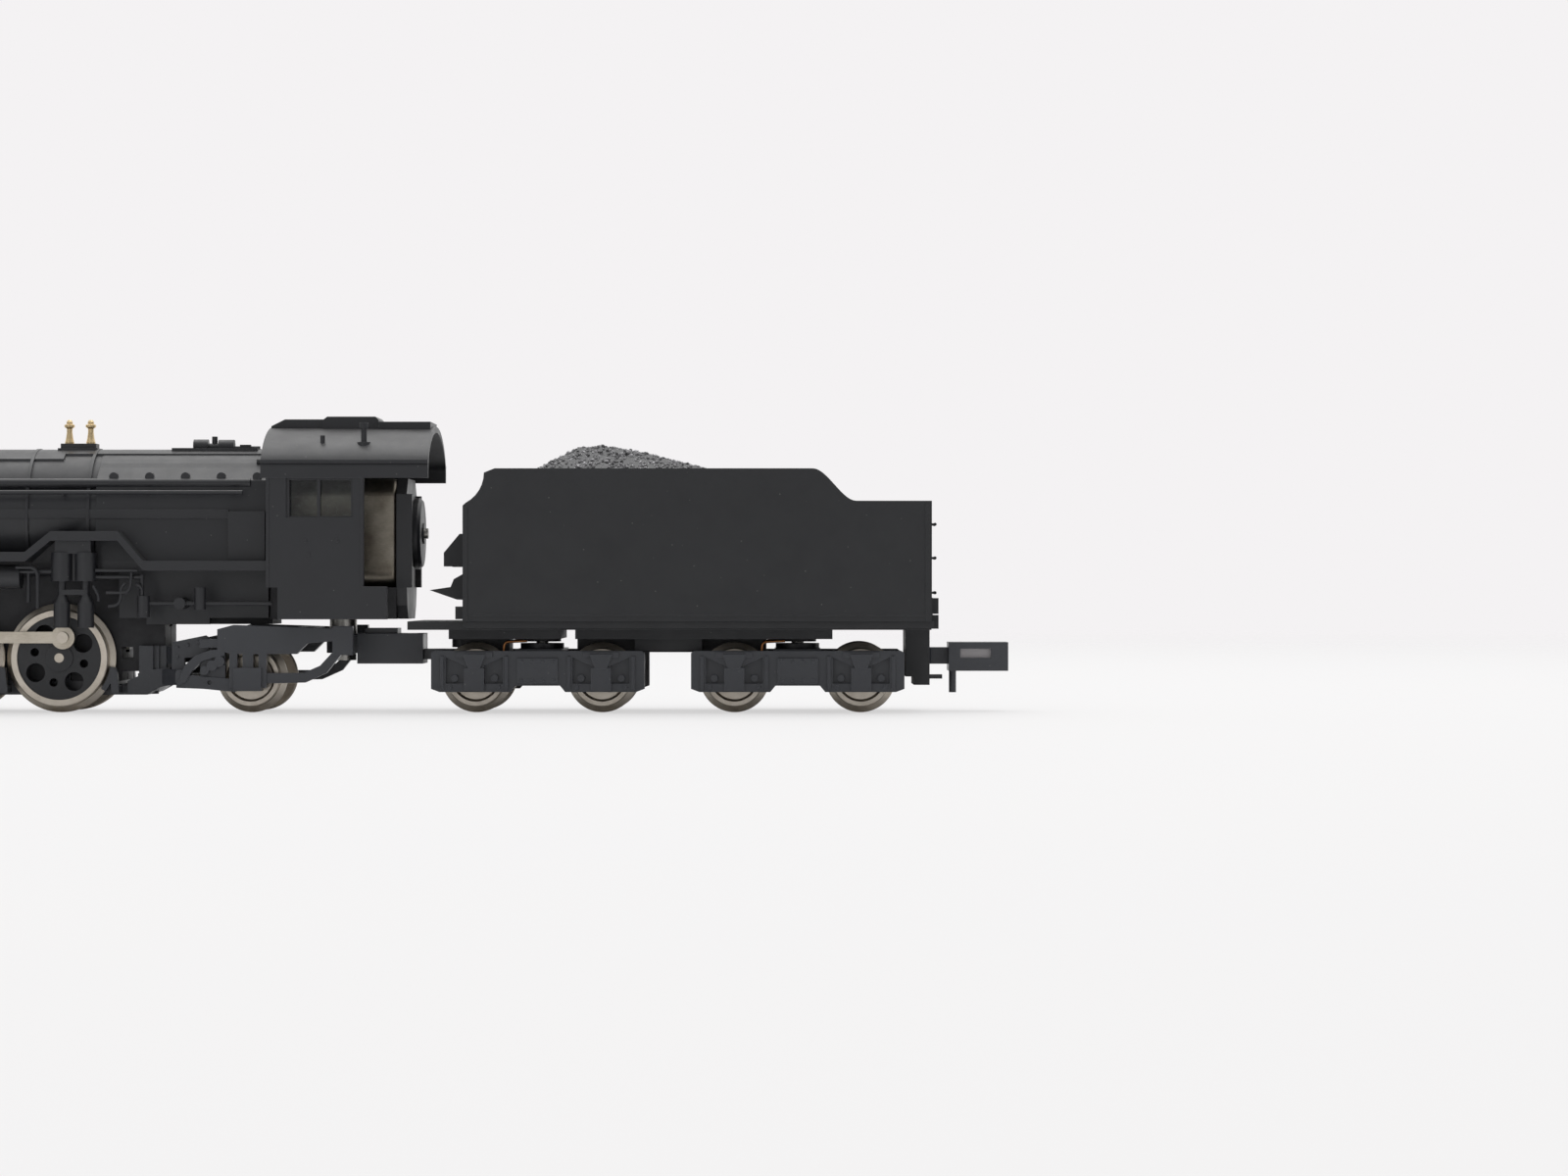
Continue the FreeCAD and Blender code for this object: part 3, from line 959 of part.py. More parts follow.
def smokebox_front():
    """Smokebox front ring with the round door and its centre handle."""
    x = SMOKEBOX_X
    profile = [(0, x + 0.6), (BOILER_R - SHELL_WALL, x + 0.6), (BOILER_R - SHELL_WALL, x), (BOILER_R, x),
               (BOILER_R, x - 0.3), (BOILER_R - 0.4, x - 0.5), (4.9, x - 0.5), (4.7, x - 0.9), (3.0, x - 1.3),
               (0, x - 1.5)]
    corners = [FreeCAD.Vector(along, 0, BOILER_Z + radius) for radius, along in profile]
    face = Part.Face(Part.makePolygon(corners + corners[:1]))
    door = face.revolve(FreeCAD.Vector(0, 0, BOILER_Z), FreeCAD.Vector(1, 0, 0), 360)
    boss = rod_x(x - 2.0, x - 1.2, 0, BOILER_Z, 0.5)
    handle = box(x - 2.0, x - 1.75, -0.18, 0.18, BOILER_Z - 1.3, BOILER_Z + 1.3)
    hinge = [box(x - 1.5, x - 0.3, -4.9, -1.0, BOILER_Z + z, BOILER_Z + z + 0.35) for z in (-1.6, 1.25)]
    rail = rod_y(x - 1.1, BOILER_Z + 5.4, -3.2, 3.2, 0.17)
    rail_posts = [rod_x(x - 1.1, x, y, BOILER_Z + 5.4, 0.17) for y in (-3.2, 3.2)]
    return join([door, boss, handle, rail] + hinge + rail_posts)


def headlight():
    """Lamp housing in front of the chimney, hollow for its lens."""
    x0 = SMOKEBOX_X - 0.6
    z = BOILER_TOP_Z + 1.55
    body = rod_x(x0, x0 + 2.4, 0, z, 1.25)
    foot = box(x0 + 0.7, x0 + 1.9, -0.7, 0.7, BOILER_TOP_Z - 0.4, z)
    shell = join([body, foot])
    hollow = rod_x(x0 - 1, x0 + 1.0, 0, z, 0.95)
    return take(shell, [hollow, rod_x(SMOKEBOX_X - 0.6, SMOKEBOX_X + 9, 0, BOILER_Z, BOILER_R)])


def safety_valve(x):
    z = VALVE_PLATE_TOP_Z
    profile = [(0, z - 0.6), (0.3, z - 0.6), (0.3, z), (0.44, z), (0.44, z + 0.15), (0.35, z + 0.5),
               (0.27, z + 1.1), (0.27, z + 1.45), (0.5, z + 1.62), (0.5, z + 1.82), (0.3, z + 1.92),
               (0.3, z + 2.1), (0.18, z + 2.3), (0, z + 2.3)]
    return turned_z(profile, x, 0)


def safety_valves():
    return Part.makeCompound([safety_valve(x) for x in SAFETY_VALVE_X])


GENERATOR_X = 10.1


def whistle_and_generator():
    """Turbo generator, whistle and their piping on one plate ahead of the cab."""
    x = GENERATOR_X
    z = BOILER_TOP_Z
    plate = box(x, CAB_FRONT_X - 1.9, -1.6, 1.6, z - 0.9, z + 0.3)
    drum = rod_x(x + 1.9, x + 3.3, 0, z + 0.5, 0.68)
    whistle = rod_z(x + 3.9, 0, z, z + 1.45, 0.27)
    turbine = rod_x(x + 4.3, x + 5.8, 0, z + 0.45, 0.7)
    neck = rod_x(x + 3.2, x + 4.4, 0, z + 0.45, 0.35)
    pipe = rod_x(x + 5.7, CAB_FRONT_X - 1.9, 0.5, z + 0.35, 0.2)
    block = box(x + 6.4, x + 7.4, -0.6, 0.2, z, z + 0.65)
    crown = join([plate_yz(firebox_outline(0, BOARD_Z), FIREBOX_FRONT_X, CAB_FRONT_X),
                  top_cover(FIREBOX_FRONT_X, CAB_FRONT_X, 2.5)])
    return take(join([plate, drum, whistle, turbine, neck, pipe, block]), [crown])


# ---------------------------------------------------------------- running boards and pumps
HUMP_FRONT_X = -2.5
HUMP_REAR_X = 8.6
HUMP_RAMP = 2.4
BOARD_FRONT_RISE = 0.85


def board_side(side):
    """Footplate on one side, raised over the pump, with a turned-down edge."""
    front = SMOKEBOX_X - 1.0
    low, high = BOARD_Z + BOARD_FRONT_RISE, BOARD_Z + BOARD_HUMP
    top = [(front, low), (HUMP_FRONT_X, low), (HUMP_FRONT_X + HUMP_RAMP, high), (HUMP_REAR_X - HUMP_RAMP, high),
           (HUMP_REAR_X, BOARD_Z), (CAB_FRONT_X, BOARD_Z)]
    under = [(x, z - BOARD_THICK) for x, z in reversed(top)]
    board = plate_xz(top + under, side * 4.6, side * BOARD_WIDTH / 2)
    outline = rod_x(front - 1, FIREBOX_FRONT_X, 0, BOILER_Z, BOILER_R + BAND_RISE)
    firebox = plate_yz(firebox_outline(0, BOARD_Z - 4), FIREBOX_FRONT_X, CAB_FRONT_X + 1)
    return take(board, [outline, firebox])


def running_boards():
    return Part.makeCompound(both(board_side))


PUMP_X = -0.2


def feedwater_pump():
    """Twin-barrel pump under the raised footplate on the left, with its pipes."""
    side = -1
    top = BOARD_Z + BOARD_HUMP - BOARD_THICK
    mid_y = side * 7.9
    places = (PUMP_X + 0.95, PUMP_X + 3.2)
    head = side_box(PUMP_X + 0.5, PUMP_X + 3.7, 6.4, 8.0, 12.5, 15.1, side)
    cap = side_box(PUMP_X + 0.4, PUMP_X + 3.8, 6.8, 8.6, 15.1, top, side)
    barrels = [rod_z(x, mid_y, 12.5, 15.2, 1.0) for x in places]
    barrels += [rod_z(x, mid_y, 8.1, 10.5, 0.78) for x in places]
    flanges = [rod_z(x, mid_y, 10.3, 12.7, 0.38) for x in places]
    feet = [turned_z([(0, 10.4), (0.78, 10.4), (0.38, 11.3), (0, 11.3)], x, mid_y) for x in places]
    bridge = side_box(PUMP_X + 0.9, PUMP_X + 3.4, 7.5, 8.3, 11.2, 11.7, side)
    arm = side_box(PUMP_X + 1.0, PUMP_X + 3.2, CHASSIS_LOWER_HALF, 6.6, 12.6, 13.6, side)
    rear_pipe = rod_x(PUMP_X + 4.0, PUMP_X + 8.5, mid_y, 12.9, 0.22)
    rear_drop = rod_z(PUMP_X + 8.5, mid_y, 10.2, 13.1, 0.22)
    strainer = rod_z(PUMP_X + 8.65, mid_y, 9.1, 11.1, 0.6)
    front_pipe = rod_x(PUMP_X - 6.0, PUMP_X + 0.3, mid_y, 13.4, 0.22)
    front_drop = rod_z(PUMP_X - 2.2, mid_y, 10.5, 13.5, 0.2)
    tank = rod_x(PUMP_X - 9.0, PUMP_X - 3.0, side * 7.3, 12.9, 1.15)
    rear_link = rod_x(PUMP_X + 8.5, CAB_FRONT_X + 0.4, mid_y + 0.1, 10.4, 0.22)
    trap = rod_z(PUMP_X + 14.0, mid_y, 9.8, 11.9, 0.55)
    flange = rod_y(PUMP_X + 12.1, 10.4, side * ASHPAN_HALF, side * 8.3, 0.55)
    pieces = [head, cap, bridge, arm, rear_pipe, rear_drop, strainer, front_pipe, front_drop, tank, rear_link]
    whole = join(pieces + [trap, flange] + barrels + flanges + feet)
    clear = [board_side(side), boiler_outer()]
    return take(whole, clear)


def air_compressor():
    """Compressor and air tank under the footplate on the right."""
    side = 1
    top = BOARD_Z + BOARD_HUMP - BOARD_THICK
    mid_y = side * 7.9
    upper = rod_z(PUMP_X + 2.0, mid_y, 12.6, top, 1.3)
    lower = rod_z(PUMP_X + 2.0, mid_y, 8.2, 11.6, 1.35)
    neck = rod_z(PUMP_X + 2.0, mid_y, 11.4, 12.8, 0.8)
    ribs = [rod_z(PUMP_X + 2.0, mid_y, z, z + 0.25, 1.5) for z in (8.7, 9.4, 10.1, 10.8)]
    arm = side_box(PUMP_X + 1.2, PUMP_X + 2.8, CHASSIS_LOWER_HALF, 7.4, 12.6, 13.6, side)
    tank = rod_x(PUMP_X + 6.5, PUMP_X + 17.0, side * 7.4, 11.4, 1.5)
    pipe = rod_x(PUMP_X + 2.5, PUMP_X + 8.0, side * 7.6, 12.0, 0.25)
    hook = side_box(PUMP_X + 11, PUMP_X + 12, ASHPAN_HALF, 6.2, 11.2, 12.0, side)
    return take(join([upper, lower, neck, arm, tank, pipe, hook] + ribs), [board_side(side), boiler_outer()])


def smoke_deflector(side):
    """Lifting plate beside the smokebox, with two stays."""
    x0, x1 = SMOKEBOX_X - 2.0, SMOKEBOX_X + 10.5
    y = 8.5
    low = BOARD_Z + BOARD_FRONT_RISE
    plate = plate_xz([(x0, low), (x1, low), (x1, low + 8.4), (x0 + 1.4, low + 8.4), (x0, low + 6.6)],
                     side * y, side * (y + 0.35))
    stays = [rod_y(x, low + 6.8, side * (BOILER_R - 1.8), side * (y + 0.1), 0.2) for x in (x0 + 3.6, x1 - 1.5)]
    return take(join([plate] + stays), [rod_x(x0 - 1, x1 + 1, 0, BOILER_Z, BOILER_R)])


def smoke_deflectors():
    return Part.makeCompound(both(smoke_deflector))


FRONT_DECK_Z = 10.4


def front_beam():
    """Buffer beam, front deck, steps and the pocket for the front coupler."""
    deck = box(BEAM_X, LEADING_X - CYLINDER_LENGTH / 2, -SADDLE_HALF, SADDLE_HALF, FRONT_DECK_Z,
               FRONT_DECK_Z + 0.7)
    wide = box(BEAM_X, LEADING_X - CYLINDER_LENGTH / 2 - 0.9, -8.6, 8.6, FRONT_DECK_Z, FRONT_DECK_Z + 0.7)
    beam = box(BEAM_X - 0.6, BEAM_X + 0.4, -8.9, 8.9, COUPLER_HEAD_TOP_Z + 0.2, FRONT_DECK_Z + 0.9)
    sill = box(BEAM_X, LEADING_X - CYLINDER_LENGTH / 2, -3.4, 3.4, SADDLE_Z, FRONT_DECK_Z)
    steps = []
    slopes = []
    for side in (-1, 1):
        steps.append(side_box(BEAM_X + 0.4, BEAM_X + 1.0, 6.9, 8.5, 3.0, FRONT_DECK_Z, side))
        steps.append(side_box(BEAM_X + 0.4, BEAM_X + 2.0, 6.9, 8.7, 3.0, 3.4, side))
        steps.append(side_box(BEAM_X + 0.4, BEAM_X + 2.0, 6.9, 8.7, 5.6, 6.0, side))
        front = SMOKEBOX_X - 1.0
        slopes.append(plate_xz([(BEAM_X + 0.6, FRONT_DECK_Z + 0.3), (front,
        BOARD_Z + BOARD_FRONT_RISE - BOARD_THICK),
                                (front, BOARD_Z + BOARD_FRONT_RISE), (BEAM_X, FRONT_DECK_Z + 0.7)],
                               side * 5.4, side * 8.6))
    rail = rod_y(BEAM_X + 0.2, FRONT_DECK_Z + 1.9, -7.6, 7.6, 0.2)
    posts = [rod_z(BEAM_X + 0.2, y, FRONT_DECK_Z + 0.6, FRONT_DECK_Z + 1.9, 0.2) for y in (-7.6, -2.6, 2.6,
                                                                                           7.6)]
    stem = rod_z(FRONT_COUPLER_X, 0, COUPLER_PIN_LOW_Z, SADDLE_Z + 0.5, COUPLER_PIN_R)
    return join([deck, wide, beam, sill, rail, stem] + steps + slopes + posts)


# ---------------------------------------------------------------- couplers
COUPLER_PIN_R = 0.55
COUPLER_PIN_LOW_Z = COUPLER_Z - 0.85
COUPLER_SHANK_HALF = 0.7
COUPLER_SHANK_LOW_Z = COUPLER_Z - 0.75
COUPLER_SHANK_TOP_Z = COUPLER_Z + 0.85
COUPLER_HEAD_LENGTH = 5.7
COUPLER_HEAD_HALF = 2.2
COUPLER_HEAD_LOW_Z = COUPLER_Z - 1.4
COUPLER_HEAD_TOP_Z = COUPLER_Z + 1.35
COUPLER_ARM = 8.3
FRONT_COUPLER_X = FRONT_END_X + COUPLER_ARM
REAR_COUPLER_X = REAR_END_X - COUPLER_ARM


def coupler(pivot_x, direction):
    """Box-headed hook coupler: eye, shank, open head with a hooked lip, and a tail pin."""
    def along(a, b):
        low, high = sorted((pivot_x + direction * a, pivot_x + direction * b))
        return low, high

    head_start = COUPLER_ARM - COUPLER_HEAD_LENGTH
    low, high = COUPLER_SHANK_LOW_Z, COUPLER_SHANK_TOP_Z
    eye = rod_z(pivot_x, 0, low, high, COUPLER_PIN_R + 0.65)
    shank = box(*along(0, head_start + 0.5), -COUPLER_SHANK_HALF, COUPLER_SHANK_HALF, low, high)
    half = COUPLER_HEAD_HALF
    head = box(*along(head_start, COUPLER_ARM), -half, half, COUPLER_HEAD_LOW_Z, COUPLER_HEAD_TOP_Z)
    throat = box(*along(head_start + 1.1, COUPLER_ARM - 0.9), -half + 0.7, half - 0.7,
                 COUPLER_HEAD_LOW_Z - 1, COUPLER_HEAD_TOP_Z - 0.6)
    mouth = box(*along(COUPLER_ARM - 1.2, COUPLER_ARM + 1), -half + 0.7, half - 0.7,
                COUPLER_Z - 0.4, COUPLER_HEAD_TOP_Z - 0.6)
    window = box(*along(head_start + 1.1, head_start + 4.05), -half - 1, half + 1, COUPLER_Z - 0.15,
                 COUPLER_Z + 0.75)
    pin = rod_z(pivot_x + direction * (head_start + 0.45), 0, COUPLER_Z - 3.5, COUPLER_Z, 0.35)
    bore = rod_z(pivot_x, 0, 0, 12, COUPLER_PIN_R + RUNNING_CLEARANCE)
    return take(join([eye, shank, take(head, [throat, mouth, window]), pin]), [bore])


# ---------------------------------------------------------------- cab
EAVE_Z = 22.2
ROOF_THICK = 0.55
ROOF_HALF = CAB_WIDTH / 2 + 0.1
ROOF_SPRING_Z = 23.3
ROOF_FULLNESS = 0.62
SKIRT_TOP_Z = 12.0
SKIRT_FRONT_X = CAB_FRONT_X + 1.1
SKIRT_REAR_X = CAB_REAR_X + 2.2
PANE_X = ((2.2, 4.8), (5.1, 8.0))
PANE_Z = (18.6, 22.0)


def roof_surface_z(y):
    """Height of the roof's outer surface over a point across the cab."""
    return ROOF_SPRING_Z + (ROOF_TOP_Z - ROOF_SPRING_Z) * (1 - (y / ROOF_HALF) ** 2) ** ROOF_FULLNESS


def roof_points(shrink):
    """Points across the roof, from one side wall over the crown to the other."""
    half, rise = ROOF_HALF - shrink, ROOF_TOP_Z - ROOF_SPRING_Z - shrink
    points = []
    for step in range(25):
        across = math.cos(math.pi * step / 24)
        points.append((half * across, ROOF_SPRING_Z + rise * max(0.0, 1 - across * across) ** ROOF_FULLNESS))
    return points


def roof_block(x0, x1, shrink, foot_z):
    """Everything under the roof's surface, down to foot_z."""
    half = ROOF_HALF - shrink
    return smooth_yz(roof_points(shrink), [(-half, foot_z), (half, foot_z)], x0, x1)


def roof_arch(x0, x1):
    """The curved roof sheet between two stations."""
    return roof_block(x0, x1, 0, EAVE_Z).cut(roof_block(x0 - 1, x1 + 1, ROOF_THICK, EAVE_Z - 2))


def cab_side(side):
    """Cab side sheet with two window openings in a shallow frame, and its lower skirt."""
    half = CAB_WIDTH / 2
    wall = side_box(CAB_FRONT_X, CAB_REAR_X, half - CAB_WALL, half, SKIRT_TOP_Z - 0.1, CAB_SIDE_TOP_Z, side)
    skirt = side_box(SKIRT_FRONT_X, SKIRT_REAR_X, half - CAB_WALL, half, CAB_FLOOR_Z, SKIRT_TOP_Z, side)
    x = CAB_FRONT_X
    panes = [side_box(x + a, x + b, half - 2, half + 1, PANE_Z[0], PANE_Z[1], side) for a, b in PANE_X]
    frame = side_box(x + PANE_X[0][0] - 0.3, x + PANE_X[1][1] + 0.2, half - 0.2, half + 1,
                     PANE_Z[0] - 0.15, PANE_Z[1] + 0.2, side)
    rivets = [rod_y(x + dx, z, side * (half - 0.1), side * (half + 0.1), 0.18)
              for dx, z in ((3.7, 16.3), (6.7, 16.3), (4.0, 15.0))]
    beads = [side_box(x + dx, x + dx + 0.25, half - 0.1, half + 0.08, SKIRT_TOP_Z, CAB_SIDE_TOP_Z, side)
             for dx in (0.05, CAB_SIDE_LENGTH - 0.3)]
    return join([take(join([wall, skirt]), panes + [frame])] + rivets + beads)


def cab_front():
    """Front sheet of the cab, cut out for the firebox, with a window on each side of it."""
    half = CAB_WIDTH / 2
    sheet = box(CAB_FRONT_X, CAB_FRONT_X + CAB_WALL, -half, half, SKIRT_TOP_Z, ROOF_TOP_Z)
    sheet = sheet.common(roof_block(CAB_FRONT_X, CAB_FRONT_X + CAB_WALL, 0.2, 0))
    opening = plate_yz(firebox_outline(SHELL_WALL, 0), CAB_FRONT_X - 1, CAB_FRONT_X + 2)
    windows = [side_box(CAB_FRONT_X - 1, CAB_FRONT_X + 2, 7.3, 8.5, 17.2, 21.6, side) for side in (-1, 1)]
    return take(sheet, [opening] + windows)


VENT_HEIGHT = 1.85
PEG_HEIGHT = 0.65


def cab_shell():
    """Cab with its roof, a rain strip along each eave, a vent post and a peg on the left."""
    roof = roof_arch(ROOF_FRONT_X, ROOF_REAR_X)
    strips = [side_box(ROOF_FRONT_X, ROOF_REAR_X, ROOF_HALF - 0.3, ROOF_HALF + 0.14, ROOF_SPRING_Z + 0.3,
                       ROOF_SPRING_Z + 0.6, side) for side in (-1, 1)]
    y = -ROOF_HALF + 2.2
    base_z = roof_surface_z(y)
    post_x = ROOF_REAR_X - 6.25
    post = rod_z(post_x, y, base_z - 1.1, base_z + VENT_HEIGHT, 0.27)
    collar = rod_z(post_x, y, base_z + VENT_HEIGHT - 0.5, base_z + VENT_HEIGHT, 0.42)
    foot = rod_z(post_x, y, base_z - 0.85, base_z + 0.02, 0.62)
    peg = rod_z(ROOF_FRONT_X + 5.6, y, base_z - 0.85, base_z + PEG_HEIGHT, 0.22)
    trim = roof_block(ROOF_FRONT_X - 1, ROOF_REAR_X + 1, ROOF_THICK - 0.1, EAVE_Z - 1)
    shell = join([roof] + both(cab_side) + [cab_front()])
    return join([shell] + [piece.cut(trim) for piece in strips + [post, collar, foot, peg]])


def cab_glazing():
    """Clear inserts behind the side windows."""
    half = CAB_WIDTH / 2 - CAB_WALL
    x = CAB_FRONT_X
    return Part.makeCompound(both(lambda side: side_box(
        x + PANE_X[0][0] - 0.5, x + PANE_X[1][1] + 0.5, half - 0.3, half, PANE_Z[0] - 0.5, PANE_Z[1] + 0.3,
        side)))


def roof_hatch():
    """Three-part ventilator on the roof: sloping cowl, raised hatch, rear cover."""
    x = ROOF_FRONT_X
    top = ROOF_TOP_Z
    cowl = plate_xz([(x + 0.1, top - 0.9), (x + 0.1, top), (x + 1.4, top + 0.65), (x + 5.1, top + 0.65),
                     (x + 5.1, top - 0.9)], -2.6, 2.6)
    hatch = plate_xz([(x + 5.1, top - 0.9), (x + 5.1, top + 0.6), (x + 5.5, top + 0.9), (x + 10.1, top + 0.9),
                      (x + 10.4, top + 0.6), (x + 10.4, top - 0.9)], -3.0, 3.0)
    cover = box(x + 10.4, x + 15.4, -3.3, 3.3, top - 0.9, top + 0.4)
    return take(join([cowl, hatch, cover]), [roof_block(x - 1, x + ROOF_LENGTH + 1, 0, 0)])


# ---------------------------------------------------------------- drawbar
DRAWBAR_PIN_R = 0.7
DRAWBAR_HALF = 2.4
DRAWBAR_TONGUE_HALF = 1.6


def drawbar():
    """Deep block between engine and tender with an eye at each end."""
    x0, x1 = DRAWBAR_FRONT_X, TENDER_PIN_X
    block = box(x0 + 1.6, x1 - 3.7, -DRAWBAR_HALF, DRAWBAR_HALF, 4.6, 7.5)
    front = box(x0, x0 + 1.8, -DRAWBAR_TONGUE_HALF, DRAWBAR_TONGUE_HALF, 5.6, 7.3)
    front_eye = rod_z(x0, 0, 5.6, 7.3, DRAWBAR_TONGUE_HALF)
    rear = box(x1 - 3.8, x1, -DRAWBAR_TONGUE_HALF + 0.2, DRAWBAR_TONGUE_HALF - 0.2, 5.0, 6.0)
    rear_eye = rod_z(x1, 0, 5.0, 6.0, DRAWBAR_TONGUE_HALF - 0.2)
    pad = box(x0 + 2.3, x0 + 5.4, -1.8, 1.8, 7.4, 8.0)
    holes = [rod_z(x0, 0, 0, 20, DRAWBAR_PIN_R + RUNNING_CLEARANCE)]
    holes.append(rod_z(x1, 0, 0, 20, TRUCK_PIN_R + RUNNING_CLEARANCE))
    return take(join([block, front, front_eye, rear, rear_eye, pad]), holes)


def drawbar_screw():
    """Shouldered screw under the cab floor that the drawbar turns on."""
    x = DRAWBAR_FRONT_X
    stem = rod_z(x, 0, 5.5, CAB_FLOOR_Z, DRAWBAR_PIN_R)
    head = rod_z(x, 0, 4.9, 5.5, 1.25)
    shoulder = rod_z(x, 0, 7.4, CAB_FLOOR_Z, 1.3)
    return join([stem, head, shoulder])


# ---------------------------------------------------------------- tender
TENDER_DECK_Z = 19.4
BUNKER_FRONT_X = TENDER_X + 4.4
BUNKER_REAR_X = TENDER_X + 24.9
SIDE_STEP_X = TENDER_REAR_X - 11.2
SIDE_STEP_LENGTH = 4.1


def tender_outline():
    """Side view of the tank: scooped front corner, long top, S-curve down to the rear deck."""
    x = TENDER_X
    low, high, rear = TENDER_FRAME_TOP_Z, TENDER_TOP_Z, TENDER_REAR_TOP_Z
    front = [(x, low), (x, high - 3.5)] + arc_points(x - 1.2, high - 0.4, 3.2, -62, 0, 6)
    fall = []
    for step in range(15):
        share = step / 14
        fall.append((SIDE_STEP_X + SIDE_STEP_LENGTH * share,
                     high - (high - rear) * share * share * (3 - 2 * share)))
    return front + [(x + 3.0, high)] + fall + [(TENDER_REAR_X, rear), (TENDER_REAR_X, low)]


def tender_rear_fittings():
    """Three climbing rungs on the back of the tank, and a lamp bracket on each side."""
    x = TENDER_REAR_X
    pieces = []
    for z in (11.4, 14.7, 17.9):
        pieces.append(rod_y(x + 0.45, z, -5.6, -3.4, 0.15))
        pieces += [rod_x(x - 0.3, x + 0.45, y, z, 0.11) for y in (-5.4, -3.6)]
    for y in (-7.0, 7.0):
        pieces.append(box(x - 0.2, x + 0.7, y - 0.6, y + 0.6, 9.4, 10.9))
    return pieces


def tender_front_fittings():
    """Water valve boxes, pegs and the fall plate on the front of the tank."""
    x = TENDER_X
    pieces = []
    for side in (-1, 1):
        y = side * 4.6
        pieces.append(plate_xz([(x + 0.4, 17.0), (x - 0.6, 17.0), (x - 2.1, 15.2), (x - 2.1, 13.9),
                                (x - 0.6, 13.9),
                                (x + 0.4, 13.9)], y - 1.2, y + 1.2))
        pieces += [rod_x(x - 0.35, x + 0.4, y, z, 0.25) for z in (17.1, 18.2)]
        pieces.append(side_box(x - 0.8, x + 0.4, 6.6, 8.2, 8.9, 10.1, side))
    pieces.append(plate_xz([(x - 3.4, 11.65), (x - 1.4, 11.95), (x - 1.1, 12.7), (x - 0.2, 13.2), (x + 0.4,
                                                                                                   13.2),
                            (x + 0.4, 10.7), (x - 0.8, 10.75), (x - 2.4, 11.3)], -6.4, 6.4))
    return pieces


def tender_body():
    """Tank and bunker in one hollow moulding."""
    half = TENDER_WIDTH / 2
    wall = TENDER_WALL
    solid = plate_xz(tender_outline(), -half, half)
    inside = box(TENDER_X + wall, TENDER_REAR_X - wall, -half + wall, half - wall, 0, TENDER_DECK_Z - wall)
    well = box(BUNKER_FRONT_X, TENDER_REAR_X - wall, -half + 0.6, half - 0.6, TENDER_DECK_Z, TENDER_TOP_Z + 5)
    bulkhead = box(BUNKER_REAR_X, BUNKER_REAR_X + 0.7, -half + 0.6, half - 0.6, TENDER_DECK_Z - 0.2,
                   TENDER_TOP_Z - 0.3)
    hatch = box(TENDER_REAR_X - 8.4, TENDER_REAR_X - 4.0, -2.6, 2.6, TENDER_DECK_Z - 0.2, TENDER_DECK_Z + 0.5)
    filler = rod_z(TENDER_REAR_X - 13.5, 0, TENDER_DECK_Z - 0.2, TENDER_DECK_Z + 1.5, 2.2)
    bead = [side_box(TENDER_X, TENDER_X + 0.45, half - 0.2, half + 0.08, TENDER_FRAME_TOP_Z,
                     TENDER_TOP_Z - 3.6, side)
            for side in (-1, 1)]
    bead += [side_box(TENDER_REAR_X - 0.6, TENDER_REAR_X - 0.15, half - 0.2, half + 0.08, TENDER_FRAME_TOP_Z,
                      TENDER_REAR_TOP_Z - 0.1, side) for side in (-1, 1)]
    strip = [side_box(TENDER_X, TENDER_REAR_X, half - 0.2, half + 0.06, TENDER_FRAME_TOP_Z + 0.5,
                      TENDER_FRAME_TOP_Z + 0.62, side) for side in (-1, 1)]
    extras = [bulkhead, hatch, filler] + bead + strip + tender_front_fittings() + tender_rear_fittings()
    return join([take(solid, [inside, well])] + extras)


COAL_RISE = 2.3


def coal_load():
    """Heaped coal that fills the bunker."""
    x0, x1 = BUNKER_FRONT_X + 0.1, BUNKER_REAR_X - 0.1
    half = TENDER_WIDTH / 2 - 0.7
    length = x1 - x0
    base = box(x0, x1, -half, half, TENDER_DECK_Z, TENDER_TOP_Z - 1.2)
    low, top = TENDER_TOP_Z - 1.2, TENDER_TOP_Z + COAL_RISE
    ridge = plate_xz([(x0, low), (x0 + 0.08 * length, TENDER_TOP_Z - 0.4), (x0 + 0.30 * length, top - 0.2),
                      (x0 + 0.40 * length, top), (x0 + 0.60 * length, top - 0.7), (x0 + 0.90 * length,
                                                                                   TENDER_TOP_Z),
                      (x1, low)], -half, half)
    slopes = plate_yz([(half, low), (half * 0.35, top), (-half * 0.35, top), (-half, low)], x0, x1)
    return join([base, ridge.common(slopes)])


BOGIE_BOSS_Z = 6.7
SLAB_LOW_Z = 7.0
KEEL_LOW_Z = 5.7
KEEL_HALF = 2.4
KEEL_GAP = 3.0
BOGIE_SCREW_R = 0.6
BOGIE_BOSS_R = 1.8
REAR_BOX_FRONT_X = TENDER_REAR_X - 2.3


